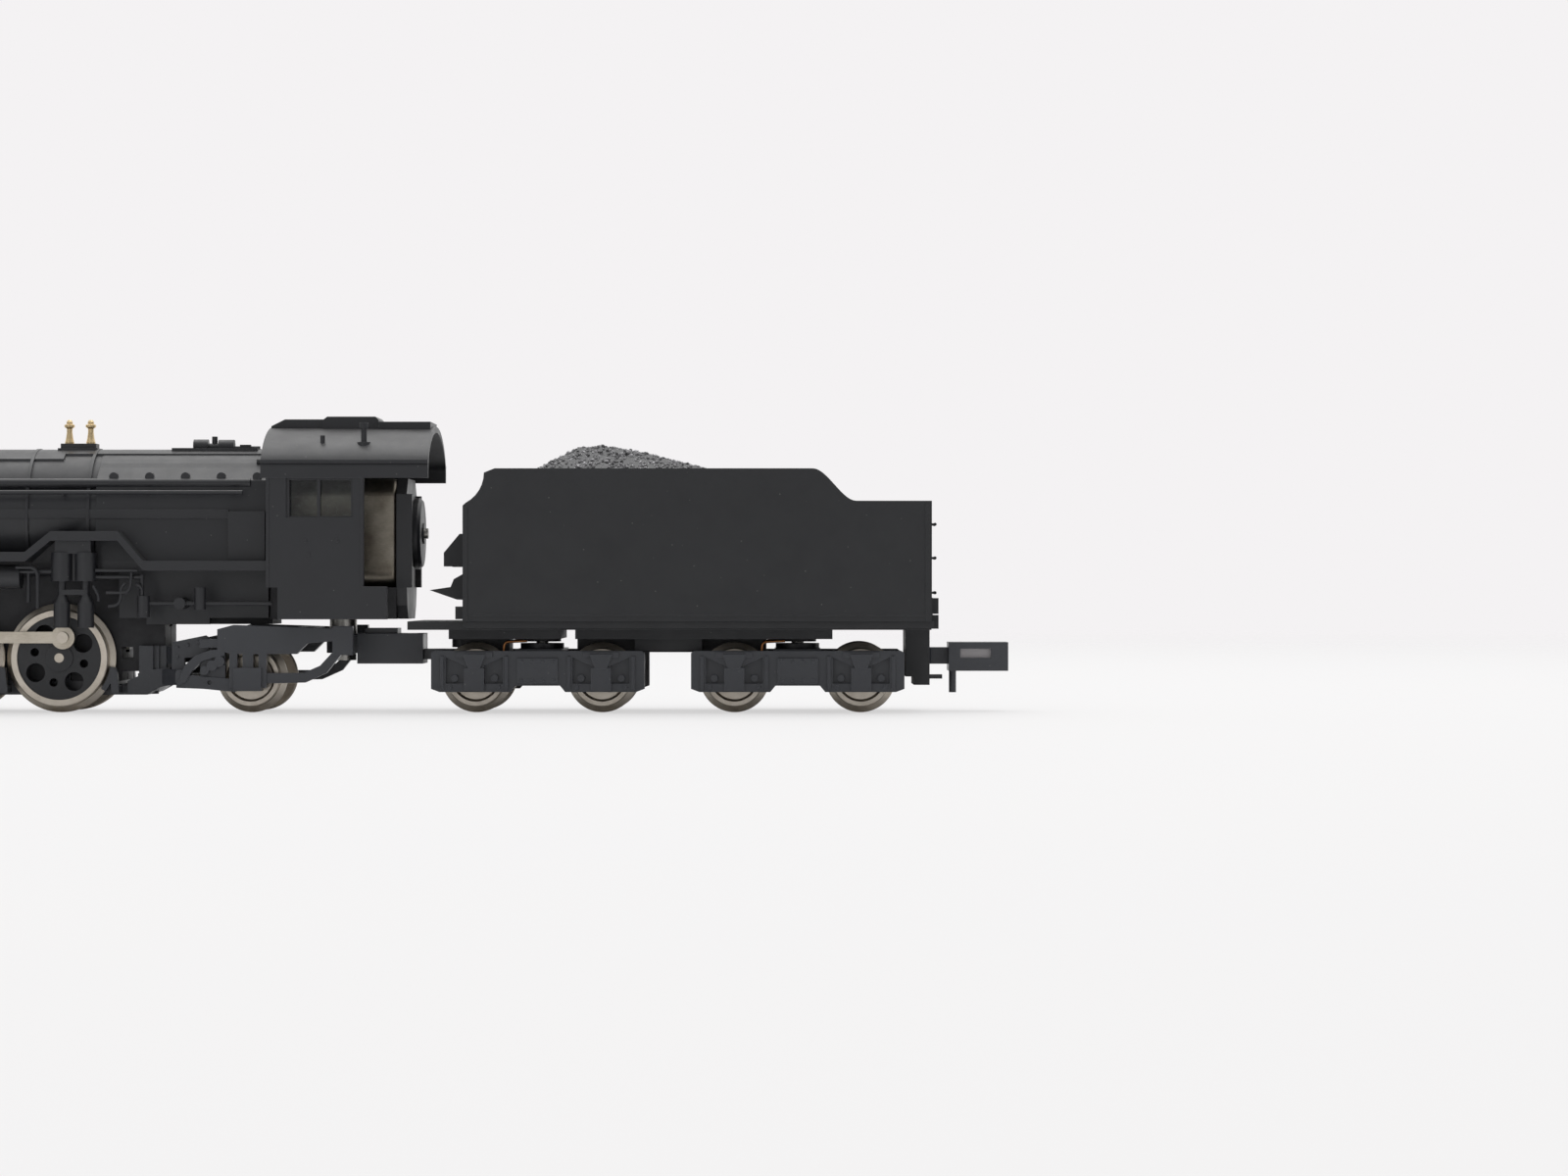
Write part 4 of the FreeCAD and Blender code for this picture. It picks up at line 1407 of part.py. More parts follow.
def tender_frame():
    """Floor of the tender with its bogie bosses, tank between the bogies, and rear coupler box."""
    low, top = TENDER_FRAME_Z, TENDER_FRAME_TOP_Z
    floor = box(TENDER_FRAME_X, TENDER_REAR_X, -8.4, 8.4, low, top)
    lip = box(TENDER_X, TENDER_REAR_X + 0.2, -9.2, 9.2, low + 0.2, top)
    bosses = [rod_z(x, 0, BOGIE_BOSS_Z, low, BOGIE_BOSS_R) for x in BOGIE_X]
    mid = (BOGIE_X[0] + BOGIE_X[1]) / 2
    tank = box(mid - 3.2, mid + 3.2, -5.0, 5.0, 5.9, low)
    slabs = [(TENDER_X - 1.6, BOGIE_X[0] + 2.0), (BOGIE_X[0] + 3.5, BOGIE_X[1] + 3.3)]
    beams = [box(x0, x1, -6.2, 6.2, SLAB_LOW_Z, low) for x0, x1 in slabs]
    keels = [(TENDER_PIN_X + 2.0, BOGIE_X[0] - KEEL_GAP), (BOGIE_X[0] + 3.5, BOGIE_X[1] - KEEL_GAP)]
    beams += [box(x0, x1, -KEEL_HALF, KEEL_HALF, KEEL_LOW_Z, low) for x0, x1 in keels]
    beams.append(box(TENDER_X - 0.8, TENDER_PIN_X + 2.1, -KEEL_HALF, KEEL_HALF, KEEL_LOW_Z + 0.6, low))
    end = box(REAR_BOX_FRONT_X, TENDER_REAR_X, -3.9, 3.9, 3.4, low)
    step = box(REAR_BOX_FRONT_X + 0.8, TENDER_REAR_X, -3.9, 3.9, 2.6, 3.5)
    tail = box(TENDER_REAR_X - 0.1, TENDER_REAR_X + 1.2, -3.9, -2.9, 3.2, 3.6)
    room = box(REAR_BOX_FRONT_X + 0.3, TENDER_REAR_X + 1, -2.9, 2.9, COUPLER_SHANK_LOW_Z - 0.2,
               COUPLER_SHANK_TOP_Z + 0.2)
    head_room = box(TENDER_REAR_X - 0.1, TENDER_REAR_X + 1, -3.4, 3.4, 0, COUPLER_SHANK_LOW_Z)
    pin = rod_z(REAR_COUPLER_X, 0, COUPLER_SHANK_LOW_Z - 0.3, COUPLER_SHANK_TOP_Z + 0.3, COUPLER_PIN_R)
    lead_pin = join([rod_z(TENDER_PIN_X, 0, 4.75, low, TRUCK_PIN_R), rod_z(TENDER_PIN_X, 0, 6.15, low, 1.1)])
    lamp = [box(TENDER_REAR_X, TENDER_REAR_X + 0.7, y - 0.7, y + 0.7, low + 0.1, top + 0.6) for y in (-7.0,
                                                                                                      7.0)]
    whole = join([floor, lip, tank, end, step] + bosses + beams + lamp)
    whole = join([take(whole, [room, head_room]), pin, lead_pin, tail])
    tanks = [rod_z(x, 0, BOGIE_BOSS_Z - 1, low - 0.2, BOGIE_SCREW_R) for x in BOGIE_X]
    return take(whole, tanks + [tender_body()])


def tender_weight():
    """Cast block inside the tank."""
    return box(TENDER_X + 6.0, TENDER_REAR_X - 6.0, -7.4, 7.4, TENDER_FRAME_TOP_Z, TENDER_FRAME_TOP_Z + 7.0)


def pickup_strips():
    """Long phosphor-bronze strips on the tender floor with wires down to each bogie."""
    pieces = []
    for side in (-1, 1):
        strip = side_box(BOGIE_X[0] - 5.0, TENDER_REAR_X - 6.5, 7.6, 8.3, TENDER_FRAME_TOP_Z,
                         TENDER_FRAME_TOP_Z + 0.15,
                         side)
        pieces.append(strip)
    return Part.makeCompound(pieces)


# ---------------------------------------------------------------- tender bogies
BOGIE_SIDE_IN = 6.0
BOGIE_SIDE_OUT = 7.0
BOGIE_HALF_LENGTH = BOGIE_WHEELBASE / 2 + 4.1
BOLSTER_TOP_Z = 6.55
BOLSTER_WHEEL_GAP = 0.45


def bogie_side(x, side):
    """Cast side frame: end panels over the journals, flat middle plate, axlebox covers."""
    inner, outer = BOGIE_SIDE_IN, BOGIE_SIDE_OUT
    long = BOGIE_HALF_LENGTH
    base = BOGIE_WHEELBASE / 2
    plate = plate_xz([(x - long, 2.3), (x - long, 5.7), (x - long + 0.3, 5.9), (x + long - 0.3, 5.9),
                      (x + long, 5.7), (x + long, 2.3), (x + long - 0.8, 2.0), (x + 2.6, 2.0), (x + 2.1, 2.6),
                      (x - 2.1, 2.6), (x - 2.6, 2.0), (x - long + 0.8, 2.0)], side * inner, side * outer)
    recesses = []
    covers = []
    for end in (-1, 1):
        axle = x + end * base
        for part in (-1, 1):
            recesses.append(plate_xz([(axle + part * 0.9, 4.5), (axle + part * 0.9, 2.8),
                                      (axle + part * 2.7, 2.8),
                                      (axle + part * 2.7, 5.3)], side * (outer - 0.6), side * (outer + 1)))
            covers.append(rod_y(axle + part * 1.9, 3.3, side * (outer - 0.7), side * (outer - 0.2), 0.35))
            covers.append(rod_y(axle + part * 2.3, 2.45, side * (outer - 0.2), side * (outer + 0.15), 0.2))
        covers.append(side_box(axle - 0.95, axle + 0.95, outer - 0.7, outer + 0.45, 2.1, 4.3, side))
        covers.append(plate_xz([(axle - 1.1, 5.6), (axle - 0.55, 4.2), (axle + 0.55, 4.2), (axle + 1.1, 5.6)],
                               side * (outer - 0.2), side * (outer + 0.5)))
        covers.append(side_box(axle - 1.7, axle + 1.7, outer - 0.2, outer + 0.25, 5.3, 5.8, side))
        covers.append(side_box(axle - 3.2, axle - 2.9, outer - 0.2, outer + 0.25, 2.2, 5.4, side))
        covers.append(side_box(axle + 2.9, axle + 3.2, outer - 0.2, outer + 0.25, 2.2, 5.4, side))
    middle = side_box(x - 1.9, x + 1.9, outer - 0.2, outer + 0.3, 2.8, 5.2, side)
    rivets = [rod_y(x + dx, dz, side * outer, side * (outer + 0.4), 0.14)
              for dx in (-1.5, -0.5, 0.5, 1.5) for dz in (3.1, 4.9)]
    bores = [rod_y(x + end * base, CARRIER_Z, side * (inner - 1), side * (outer - 0.1), JOURNAL_R + 0.06)
             for end in (-1, 1)]
    return take(join([take(plate, recesses), middle] + covers + rivets), bores)


def bogie_frame(x):
    """Two side frames joined by a bolster that turns under the tender floor."""
    half = BOGIE_WHEELBASE / 2 - CARRIER_FLANGE_R - BOLSTER_WHEEL_GAP
    bolster = box(x - half, x + half, -BOGIE_SIDE_IN - 0.1, BOGIE_SIDE_IN + 0.1, 4.7, BOLSTER_TOP_Z - 0.5)
    pad = rod_z(x, 0, 4.7, BOLSTER_TOP_Z, 2.1)
    hole = rod_z(x, 0, 0, 12, BOGIE_SCREW_R + RUNNING_CLEARANCE)
    seat = rod_z(x, 0, 0, 5.0, 1.25)
    return take(join([bolster, pad] + both(lambda side: bogie_side(x, side))), [hole, seat])


def bogie_screw(x):
    shank = rod_z(x, 0, 4.85, TENDER_FRAME_Z - 0.2, BOGIE_SCREW_R)
    head = rod_z(x, 0, 4.3, 4.85, 1.1)
    slot = box(x - 2, x + 2, -0.15, 0.15, 4.2, 4.5)
    return join([shank, head]).cut(slot)


def bogie_screws():
    return Part.makeCompound([bogie_screw(x) for x in BOGIE_X])


# ---------------------------------------------------------------- all pieces
def tender_axle_x(number):
    bogie = BOGIE_X[(number - 1) // 2]
    return bogie + (-1 if number % 2 else 1) * BOGIE_WHEELBASE / 2


def all_pieces():
    """Every node's name with its shape, drawn with x = 0 at the rear coupled axle."""
    pieces = {
        "chassis_left": chassis_half(-1),
        "chassis_right": chassis_half(1),
        "chassis_screws": chassis_screws(),
        "keeper_plate": keeper_plate(),
        "motor_can": motor_can(),
        "motor_end_cap": motor_end_cap(),
        "motor_holder": motor_holder(),
        "motor_armature": motor_armature(),
        "worm": worm(),
        "flywheel": flywheel(),
        "idler_gear": idler_gear(),
        "axle_gear": axle_gear(),
        "boiler_shell": boiler_shell(),
        "smokebox_front": smokebox_front(),
        "headlight": headlight(),
        "safety_valves": safety_valves(),
        "whistle_and_generator": whistle_and_generator(),
        "running_boards": running_boards(),
        "feedwater_pump": feedwater_pump(),
        "air_compressor": air_compressor(),
        "smoke_deflectors": smoke_deflectors(),
        "front_beam": front_beam(),
        "front_coupler": coupler(FRONT_COUPLER_X, -1),
        "cab_shell": cab_shell(),
        "cab_glazing": cab_glazing(),
        "roof_hatch": roof_hatch(),
        "cylinder_block": cylinder_block(),
        "valve_gear": valve_gear(),
        "leading_truck": leading_truck(),
        "leading_wheelset": carrier_wheelset(LEADING_X, WHEEL_OUT_Y),
        "trailing_truck": trailing_truck(),
        "trailing_wheelset": carrier_wheelset(TRAILING_X, TRUCK_SIDE_OUT - 0.2),
        "drawbar": drawbar(),
        "tender_body": tender_body(),
        "coal_load": coal_load(),
        "tender_frame": tender_frame(),
        "tender_weight": tender_weight(),
        "pickup_strips": pickup_strips(),
        "front_bogie_frame": bogie_frame(BOGIE_X[0]),
        "rear_bogie_frame": bogie_frame(BOGIE_X[1]),
        "bogie_screws": bogie_screws(),
        "rear_coupler": coupler(REAR_COUPLER_X, 1),
    }
    for number in (1, 2, 3, 4):
        pieces["driver_%d_wheelset" % number] = driver_wheelset(number)
        pieces["driver_%d_centres" % number] = driver_centres(number)
    for number in (1, 2, 3, 4):
        x = tender_axle_x(number)
        pieces["tender_wheelset_%d" % number] = carrier_wheelset(x, BOGIE_SIDE_OUT - 0.2)
    for side, name in SIDE_NAME.items():
        pieces["coupling_rod_" + name] = coupling_rod(side)
        pieces["main_rod_" + name] = main_rod(side)
        pieces["crosshead_" + name] = crosshead(side)
    return pieces


def write_pieces():
    os.makedirs("parts", exist_ok=True)
    for name, shape in all_pieces().items():
        placed = shape.copy()
        placed.translate(FreeCAD.Vector(CENTRE_SHIFT, 0, 0))
        placed.exportStep("parts/%s.step" % name)


write_pieces()
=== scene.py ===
# %% [markdown]
# # A small steam locomotive and its tender
# The real object is a ready-to-run model for 9 mm track: moulded black plastic bodies on a zinc
# chassis, turned nickel-silver wheels and pressed nickel rods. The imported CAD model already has
# every part at its right size and place. This lesson adds what the eye needs: finishes at the
# scale of a model that fits in a hand, the coal, the fine pipework, a floor, light and a camera.

import math
import random

import bmesh
import bpy
from mathutils import Euler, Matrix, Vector
from mathutils.bvhtree import BVHTree


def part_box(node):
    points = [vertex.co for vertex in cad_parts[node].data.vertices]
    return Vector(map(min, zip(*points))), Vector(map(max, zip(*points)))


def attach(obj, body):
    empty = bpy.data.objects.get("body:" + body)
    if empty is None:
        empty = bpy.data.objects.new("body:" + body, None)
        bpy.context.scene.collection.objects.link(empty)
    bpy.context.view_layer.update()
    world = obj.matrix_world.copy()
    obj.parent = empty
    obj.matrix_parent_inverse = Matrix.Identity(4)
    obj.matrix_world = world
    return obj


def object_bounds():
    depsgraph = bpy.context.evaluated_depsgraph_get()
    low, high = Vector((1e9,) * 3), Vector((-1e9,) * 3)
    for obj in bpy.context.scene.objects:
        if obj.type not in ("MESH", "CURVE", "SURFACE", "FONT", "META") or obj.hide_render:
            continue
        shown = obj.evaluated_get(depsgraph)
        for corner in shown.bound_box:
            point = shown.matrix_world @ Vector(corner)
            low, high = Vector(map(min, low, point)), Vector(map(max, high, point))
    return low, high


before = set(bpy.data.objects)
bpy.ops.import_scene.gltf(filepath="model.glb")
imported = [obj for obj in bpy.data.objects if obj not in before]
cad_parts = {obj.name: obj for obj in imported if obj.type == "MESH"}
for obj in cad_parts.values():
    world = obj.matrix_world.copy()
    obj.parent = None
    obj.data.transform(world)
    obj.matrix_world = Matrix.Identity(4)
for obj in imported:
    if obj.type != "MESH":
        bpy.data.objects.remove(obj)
cad_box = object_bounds()
MM = 0.001
model_centre = (cad_box[0] + cad_box[1]) / 2
model_length = cad_box[1].x - cad_box[0].x
print("nodes:", len(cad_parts), "length in mm:", round(model_length / MM, 2))

# %% [markdown]
# Colours are written as sRGB hex, the way a paint chart gives them. Blender's sockets want linear
# values, so one function turns them over. A second small function adds a shader node with its
# settings and its links, so that each material below reads as a list of what it is made of.

# %% Two helpers for materials
def linear(hex_colour):
    """sRGB hex, such as "#333436", to the linear colour that a socket takes."""
    channels = [int(hex_colour[start:start + 2], 16) / 255 for start in (1, 3, 5)]
    bent = [c / 12.92 if c <= 0.04045 else ((c + 0.055) / 1.055) ** 2.4 for c in channels]
    return (*bent, 1.0)


def node(tree, kind, settings=(), inputs=()):
    """Adds one node. Each input gets a plain value, or a link when it is given a socket."""
    made = tree.nodes.new("ShaderNode" + kind)
    for name, value in dict(settings).items():
        setattr(made, name, value)
    for name, value in dict(inputs).items():
        if isinstance(value, bpy.types.NodeSocket):
            tree.links.new(value, made.inputs[name])
        else:
            made.inputs[name].default_value = value
    return made


def new_material(name):
    """An empty material with its output node."""
    made = bpy.data.materials.new(name)
    made.use_nodes = True
    made.node_tree.nodes.clear()
    return made, node(made.node_tree, "OutputMaterial")


def per_metre(size_mm):
    """Texture scale that gives features of this size."""
    return 1.0 / (size_mm * MM)


finishes = {}
print("white in linear:", linear("#ffffff")[:3])

# %% [markdown]
# ** Moulded plastic.** The body, the cab and the tender are injection-moulded ABS, the trucks and
# bogies acetal. The steel mould was spark-eroded, so the plastic carries a fine even grain that
# spreads the light; edges come out slightly rounded, about a twentieth of a millimetre, and catch
# a thin bright line. Handling leaves patches that are a little glossier. Faces that look upward are
# lightened in patches towards a grey, partly as settled dust and partly as painted light from
# above, which makes the top of a roof paler than its sides. The Bevel node rounds the edges in the
# shading alone, which leaves the shape of the CAD mesh as it is. The grain of the real mould is
# about 0.03 mm; it is drawn at 0.09 mm, as coarse as it needs to be to show.

# %% A family of moulded plastics
def moulded_plastic(name, colour, roughness, grain_mm=0.09, grain_depth_mm=0.004, edge_mm=0.06, dust_and_top_light=0.25):
    """Black or coloured moulded plastic with grain, soft edges, patchy gloss, and dust with painted top
    light on upward faces.
    """
    made, output = new_material(name)
    tree = made.node_tree
    place = node(tree, "TexCoord").outputs["Object"]
    base = linear(colour)
    worn = tuple(min(1.0, c * 2.2 + 0.012) for c in base[:3]) + (1.0,)
    patch = node(tree, "TexNoise", inputs={"Vector": place, "Scale": per_metre(7.0), "Detail": 4.0})
    varied = node(tree, "MixRGB", inputs={
        "Fac": patch.outputs["Fac"],
        "Color1": tuple(c * 0.86 for c in base[:3]) + (1.0,),
        "Color2": tuple(c * 1.16 for c in base[:3]) + (1.0,),
    })
    soft = node(tree, "Bevel", {"samples": 6}, {"Radius": edge_mm * MM})
    surface = node(tree, "NewGeometry")
    agree = node(tree, "VectorMath", {"operation": "DOT_PRODUCT"},
                 {0: soft.outputs["Normal"], 1: surface.outputs["Normal"]})
    edge = node(tree, "MapRange", inputs={
        "Value": agree.outputs["Value"], "From Min": 0.995, "From Max": 0.86, "To Min": 0.0, "To Max": 0.55})
    rubbed = node(tree, "MixRGB", inputs={
        "Fac": edge.outputs["Result"], "Color1": varied.outputs["Color"], "Color2": worn})
    # Dust and painted top light: faces that look upward are lightened in patches towards a grey, partly
    # settled dust and partly painted light from above.
    facing = node(tree, "SeparateXYZ", inputs={"Vector": surface.outputs["Normal"]})
    upward = node(tree, "MapRange", inputs={
        "Value": facing.outputs["Z"], "From Min": 0.35, "From Max": 1.0, "To Min": 0.0, "To Max": dust_and_top_light})
    dust_and_light_patches = node(tree, "TexNoise", inputs={"Vector": place, "Scale": per_metre(0.8), "Detail": 6.0,
                                           "Roughness": 0.7})
    settled_dust_and_top_light = node(tree, "Math", {"operation": "MULTIPLY"},
                   {0: upward.outputs["Result"], 1: dust_and_light_patches.outputs["Fac"]})
    dusted_and_top_lit = node(tree, "MixRGB", inputs={
        "Fac": settled_dust_and_top_light.outputs["Value"], "Color1": rubbed.outputs["Color"], "Color2": linear("#6b6966")})
    specks = node(tree, "TexVoronoi", inputs={"Vector": place, "Scale": per_metre(1.3), "Randomness": 1.0})
    speck = node(tree, "MapRange", inputs={
        "Value": specks.outputs["Distance"], "From Min": 0.05, "From Max": 0.03, "To Min": 0.0,
        "To Max": 0.35})
    specked = node(tree, "MixRGB", inputs={
        "Fac": speck.outputs["Result"], "Color1": dusted_and_top_lit.outputs["Color"], "Color2": linear("#8d8b88")})
    handled = node(tree, "TexNoise", inputs={"Vector": place, "Scale": per_metre(3.0), "Detail": 5.0})
    gloss = node(tree, "MapRange", inputs={
        "Value": handled.outputs["Fac"], "From Min": 0.3, "From Max": 0.7,
        "To Min": roughness - 0.06, "To Max": roughness + 0.07})
    grain = node(tree, "TexNoise", inputs={"Vector": place, "Scale": per_metre(grain_mm), "Detail": 3.0})
    bump = node(tree, "Bump", inputs={
        "Height": grain.outputs["Fac"], "Distance": grain_depth_mm * MM, "Strength": 0.8,
        "Normal": soft.outputs["Normal"]})
    shader = node(tree, "BsdfPrincipled", inputs={
        "Base Color": specked.outputs["Color"], "Roughness": gloss.outputs["Result"],
        "Normal": bump.outputs["Normal"], "IOR": 1.53})
    tree.links.new(shader.outputs["BSDF"], output.inputs["Surface"])
    finishes[name] = made
    return made


# The last number is how far upward faces are lightened, partly by dust and partly by painted light from
# above.
moulded_plastic("satin_black_abs", "#212226", 0.42, dust_and_top_light=0.45)
moulded_plastic("matt_black_abs", "#1e1f22", 0.56, grain_mm=0.11, grain_depth_mm=0.006)
moulded_plastic("blue_black_acetal", "#393b40", 0.36, edge_mm=0.09)
moulded_plastic("wheel_centre_abs", "#242528", 0.44, edge_mm=0.05, dust_and_top_light=0.0)
moulded_plastic("natural_acetal", "#d9d4c4", 0.36, dust_and_top_light=0.0)
moulded_plastic("pale_acetal_leaf", "#a29ea0", 0.40, dust_and_top_light=0.1)
print("plastics:", sorted(finishes))

# %% [markdown]
# **Turned nickel silver.** The wheels are turned on a lathe, and each tyre face keeps the fine
# concentric marks of the tool. Generated coordinates run from 0 to 1 over a piece's own box, and a
# wheelset's box is centred on its axle, so rings about the middle of the box follow the lathe
# without a value for each axle. The tool marks are about 0.03 mm apart and are drawn at 0.1 mm.
# Nickel silver is a warm grey metal; the bright ring beside the tread is where the track rubs.

# %% Turned metals
def turned_metal(name, colour, roughness, box_mm, ring_mm, tarnish):
    """Lathe-turned metal: rings about the crosswise axle, stretched glints, a little tarnish."""
    made, output = new_material(name)
    tree = made.node_tree
    coordinates = node(tree, "TexCoord")
    middle = node(tree, "VectorMath", {"operation": "SUBTRACT"},
                  {0: coordinates.outputs["Generated"], 1: (0.5, 0.5, 0.5)})
    wobble = node(tree, "TexNoise", inputs={"Vector": coordinates.outputs["Object"],
                                            "Scale": per_metre(0.7), "Detail": 3.0})
    rings = node(tree, "TexWave", {"wave_type": "RINGS", "rings_direction": "Y", "wave_profile": "SAW"},
                 {"Vector": middle.outputs["Vector"], "Scale": 0.314 * box_mm / ring_mm,
                  "Distortion": 0.6, "Detail": 2.0, "Detail Scale": 2.0})
    stain = node(tree, "TexNoise", inputs={"Vector": coordinates.outputs["Object"],
                                           "Scale": per_metre(1.6), "Detail": 6.0, "Roughness": 0.65})
    stained = node(tree, "MapRange", inputs={
        "Value": stain.outputs["Fac"], "From Min": 0.46, "From Max": 0.76, "To Min": 0.0, "To Max": 0.35})
    base = node(tree, "MixRGB", inputs={
        "Fac": stained.outputs["Result"], "Color1": linear(colour), "Color2": linear(tarnish)})
    grooves = node(tree, "MixRGB", {"blend_type": "MULTIPLY"}, {
        "Fac": 0.22, "Color1": base.outputs["Color"], "Color2": rings.outputs["Color"]})
    uneven = node(tree, "MapRange", inputs={
        "Value": wobble.outputs["Fac"], "From Min": 0.3, "From Max": 0.7,
        "To Min": roughness - 0.05, "To Max": roughness + 0.08})
    soft = node(tree, "Bevel", {"samples": 6}, {"Radius": 0.05 * MM})
    bump = node(tree, "Bump", inputs={
        "Height": rings.outputs["Fac"], "Distance": 0.003 * MM, "Strength": 0.7,
        "Normal": soft.outputs["Normal"]})
    along = node(tree, "Tangent", {"direction_type": "RADIAL", "axis": "Y"})
    shader = node(tree, "BsdfPrincipled", inputs={
        "Base Color": grooves.outputs["Color"], "Metallic": 1.0, "Roughness": uneven.outputs["Result"],
        "Normal": bump.outputs["Normal"], "Anisotropic": 0.45, "Tangent": along.outputs["Tangent"]})
    tree.links.new(shader.outputs["BSDF"], output.inputs["Surface"])
    finishes[name] = made
    return made


turned_metal("nickel_silver_tyre", "#dcd3c6", 0.34, 10.4, 0.10, "#9a8c78")
turned_metal("nickel_silver_carrier", "#dcd3c6", 0.34, 6.7, 0.10, "#9a8c78")
turned_metal("turned_free_cutting_steel", "#b9b7b2", 0.34, 10.4, 0.12, "#7a756c")
turned_metal("turned_brass", "#ead2a6", 0.30, 3.0, 0.12, "#b8986a")
print("turned metals:", [name for name in finishes if "turned" in name or "nickel" in name])

# %% [markdown]
# **Pressed and rolled metal.** The rods are pressed from nickel-plated sheet, the pick-up strips
# are rolled phosphor bronze, the motor can is plated steel and the chassis halves are zinc castings
# blackened in a bath. Rolling and brushing leave lines along the piece, so the noise is stretched
# along the length of the model. A casting has a skin with small pores instead.

# %% Pressed, rolled and cast metals
def pressed_metal(name, colour, roughness, stretch, mark_mm, depth_mm, stain_colour, stain_amount,
                  metallic=1.0, edge_mm=0.05):
    """Sheet or cast metal. stretch is how many times longer its marks are than wide, along x."""
    made, output = new_material(name)
    tree = made.node_tree
    place = node(tree, "TexCoord").outputs["Object"]
    drawn = node(tree, "Mapping", inputs={"Vector": place, "Scale": (1.0 / stretch, 1.0, 1.0)})
    marks = node(tree, "TexNoise", inputs={"Vector": drawn.outputs["Vector"], "Scale": per_metre(mark_mm),
                                           "Detail": 4.0, "Roughness": 0.6})
    stain = node(tree, "TexNoise", inputs={"Vector": place, "Scale": per_metre(2.2), "Detail": 6.0,
                                           "Roughness": 0.6})
    amount = node(tree, "MapRange", inputs={
        "Value": stain.outputs["Fac"], "From Min": 0.4, "From Max": 0.7, "To Min": 0.0,
        "To Max": stain_amount})
    base = node(tree, "MixRGB", inputs={
        "Fac": amount.outputs["Result"], "Color1": linear(colour), "Color2": linear(stain_colour)})
    streaked = node(tree, "MixRGB", {"blend_type": "OVERLAY"}, {
        "Fac": 0.25, "Color1": base.outputs["Color"], "Color2": marks.outputs["Fac"]})
    uneven = node(tree, "MapRange", inputs={
        "Value": marks.outputs["Fac"], "From Min": 0.3, "From Max": 0.7,
        "To Min": roughness - 0.06, "To Max": roughness + 0.08})
    soft = node(tree, "Bevel", {"samples": 6}, {"Radius": edge_mm * MM})
    bump = node(tree, "Bump", inputs={
        "Height": marks.outputs["Fac"], "Distance": depth_mm * MM, "Strength": 0.8,
        "Normal": soft.outputs["Normal"]})
    shader = node(tree, "BsdfPrincipled", inputs={
        "Base Color": streaked.outputs["Color"], "Metallic": metallic,
        "Roughness": uneven.outputs["Result"], "Normal": bump.outputs["Normal"]})
    tree.links.new(shader.outputs["BSDF"], output.inputs["Surface"])
    finishes[name] = made
    return made


pressed_metal("nickel_plated_rod", "#c9c1b3", 0.36, 9.0, 0.07, 0.002, "#8f8474", 0.5)
pressed_metal("plated_motor_can", "#8d877c", 0.40, 4.0, 0.12, 0.003, "#5c5348", 0.7)
pressed_metal("rolled_phosphor_bronze", "#c98a5a", 0.34, 8.0, 0.08, 0.002, "#8a5a38", 0.5)
pressed_metal("blackened_zinc_casting", "#3a3a3c", 0.55, 1.0, 0.14, 0.008, "#262527", 0.6, metallic=0.6)
print("materials so far:", len(finishes))

# %% [markdown]
# **Clear plastic.** The cab windows are clear polystyrene, moulded in one piece and clipped in from
# behind. It is glossy, faintly grey at this thickness, and has a few fine scuffs.

# %% Clear glazing
def clear_polystyrene():
    made, output = new_material("clear_polystyrene")
    tree = made.node_tree
    place = node(tree, "TexCoord").outputs["Object"]
    scuff = node(tree, "TexNoise", inputs={"Vector": place, "Scale": per_metre(0.5), "Detail": 5.0})
    dull = node(tree, "MapRange", inputs={
        "Value": scuff.outputs["Fac"], "From Min": 0.45, "From Max": 0.75, "To Min": 0.04, "To Max": 0.2})
    ripple = node(tree, "Bump", inputs={
        "Height": scuff.outputs["Fac"], "Distance": 0.002 * MM, "Strength": 0.3})
    shader = node(tree, "BsdfPrincipled", inputs={
        "Base Color": linear("#dfe3e4"), "Roughness": dull.outputs["Result"], "IOR": 1.59,
        "Transmission Weight": 1.0, "Normal": ripple.outputs["Normal"]})
    tree.links.new(shader.outputs["BSDF"], output.inputs["Surface"])
    finishes["clear_polystyrene"] = made


clear_polystyrene()

# %% [markdown]
# ** Coal.** The load is real coal, crushed and sieved to about half a millimetre and glued over a
# plain moulded heap. Each grain breaks along flat faces, and those that happen to face the light
# shine. A face attribute gives each grain its own grey, so no two neighbours match; the pale end of
# that grey, near white, is a painted glint standing in for the shine of the grains, and paler grains
# are also glossier.

# %% The coal's material
def crushed_coal():
    made, output = new_material("crushed_coal")
    tree = made.node_tree
    place = node(tree, "TexCoord").outputs["Object"]
    tone_and_glint = node(tree, "Attribute", {"attribute_name": "grain_tone_and_glint"})
    pits = node(tree, "TexNoise", inputs={"Vector": place, "Scale": per_metre(0.16), "Detail": 4.0})
    mixed = node(tree, "Math", {"operation": "MULTIPLY"},
                 {0: tone_and_glint.outputs["Fac"], 1: pits.outputs["Fac"]})
    # Each grain's grey runs from near black to near white: partly its own tone, partly a painted glint.
    ramp = node(tree, "MixRGB", inputs={
        "Fac": mixed.outputs["Value"], "Color1": linear("#2b2b2d"), "Color2": linear("#d2d0d4")})
    shine = node(tree, "MapRange", inputs={
        "Value": tone_and_glint.outputs["Fac"], "From Min": 0.0, "From Max": 1.0, "To Min": 0.5, "To Max": 0.12})
    bump = node(tree, "Bump", inputs={
        "Height": pits.outputs["Fac"], "Distance": 0.02 * MM, "Strength": 0.5})
    shader = node(tree, "BsdfPrincipled", inputs={
        "Base Color": ramp.outputs["Color"], "Roughness": shine.outputs["Result"], "IOR": 1.7,
        "Normal": bump.outputs["Normal"]})
    tree.links.new(shader.outputs["BSDF"], output.inputs["Surface"])
    finishes["crushed_coal"] = made


crushed_coal()

# %% [markdown]
# Every node of the CAD model gets the finish of the real piece. The list below is grouped by
# finish, the way a parts list for the factory would be.

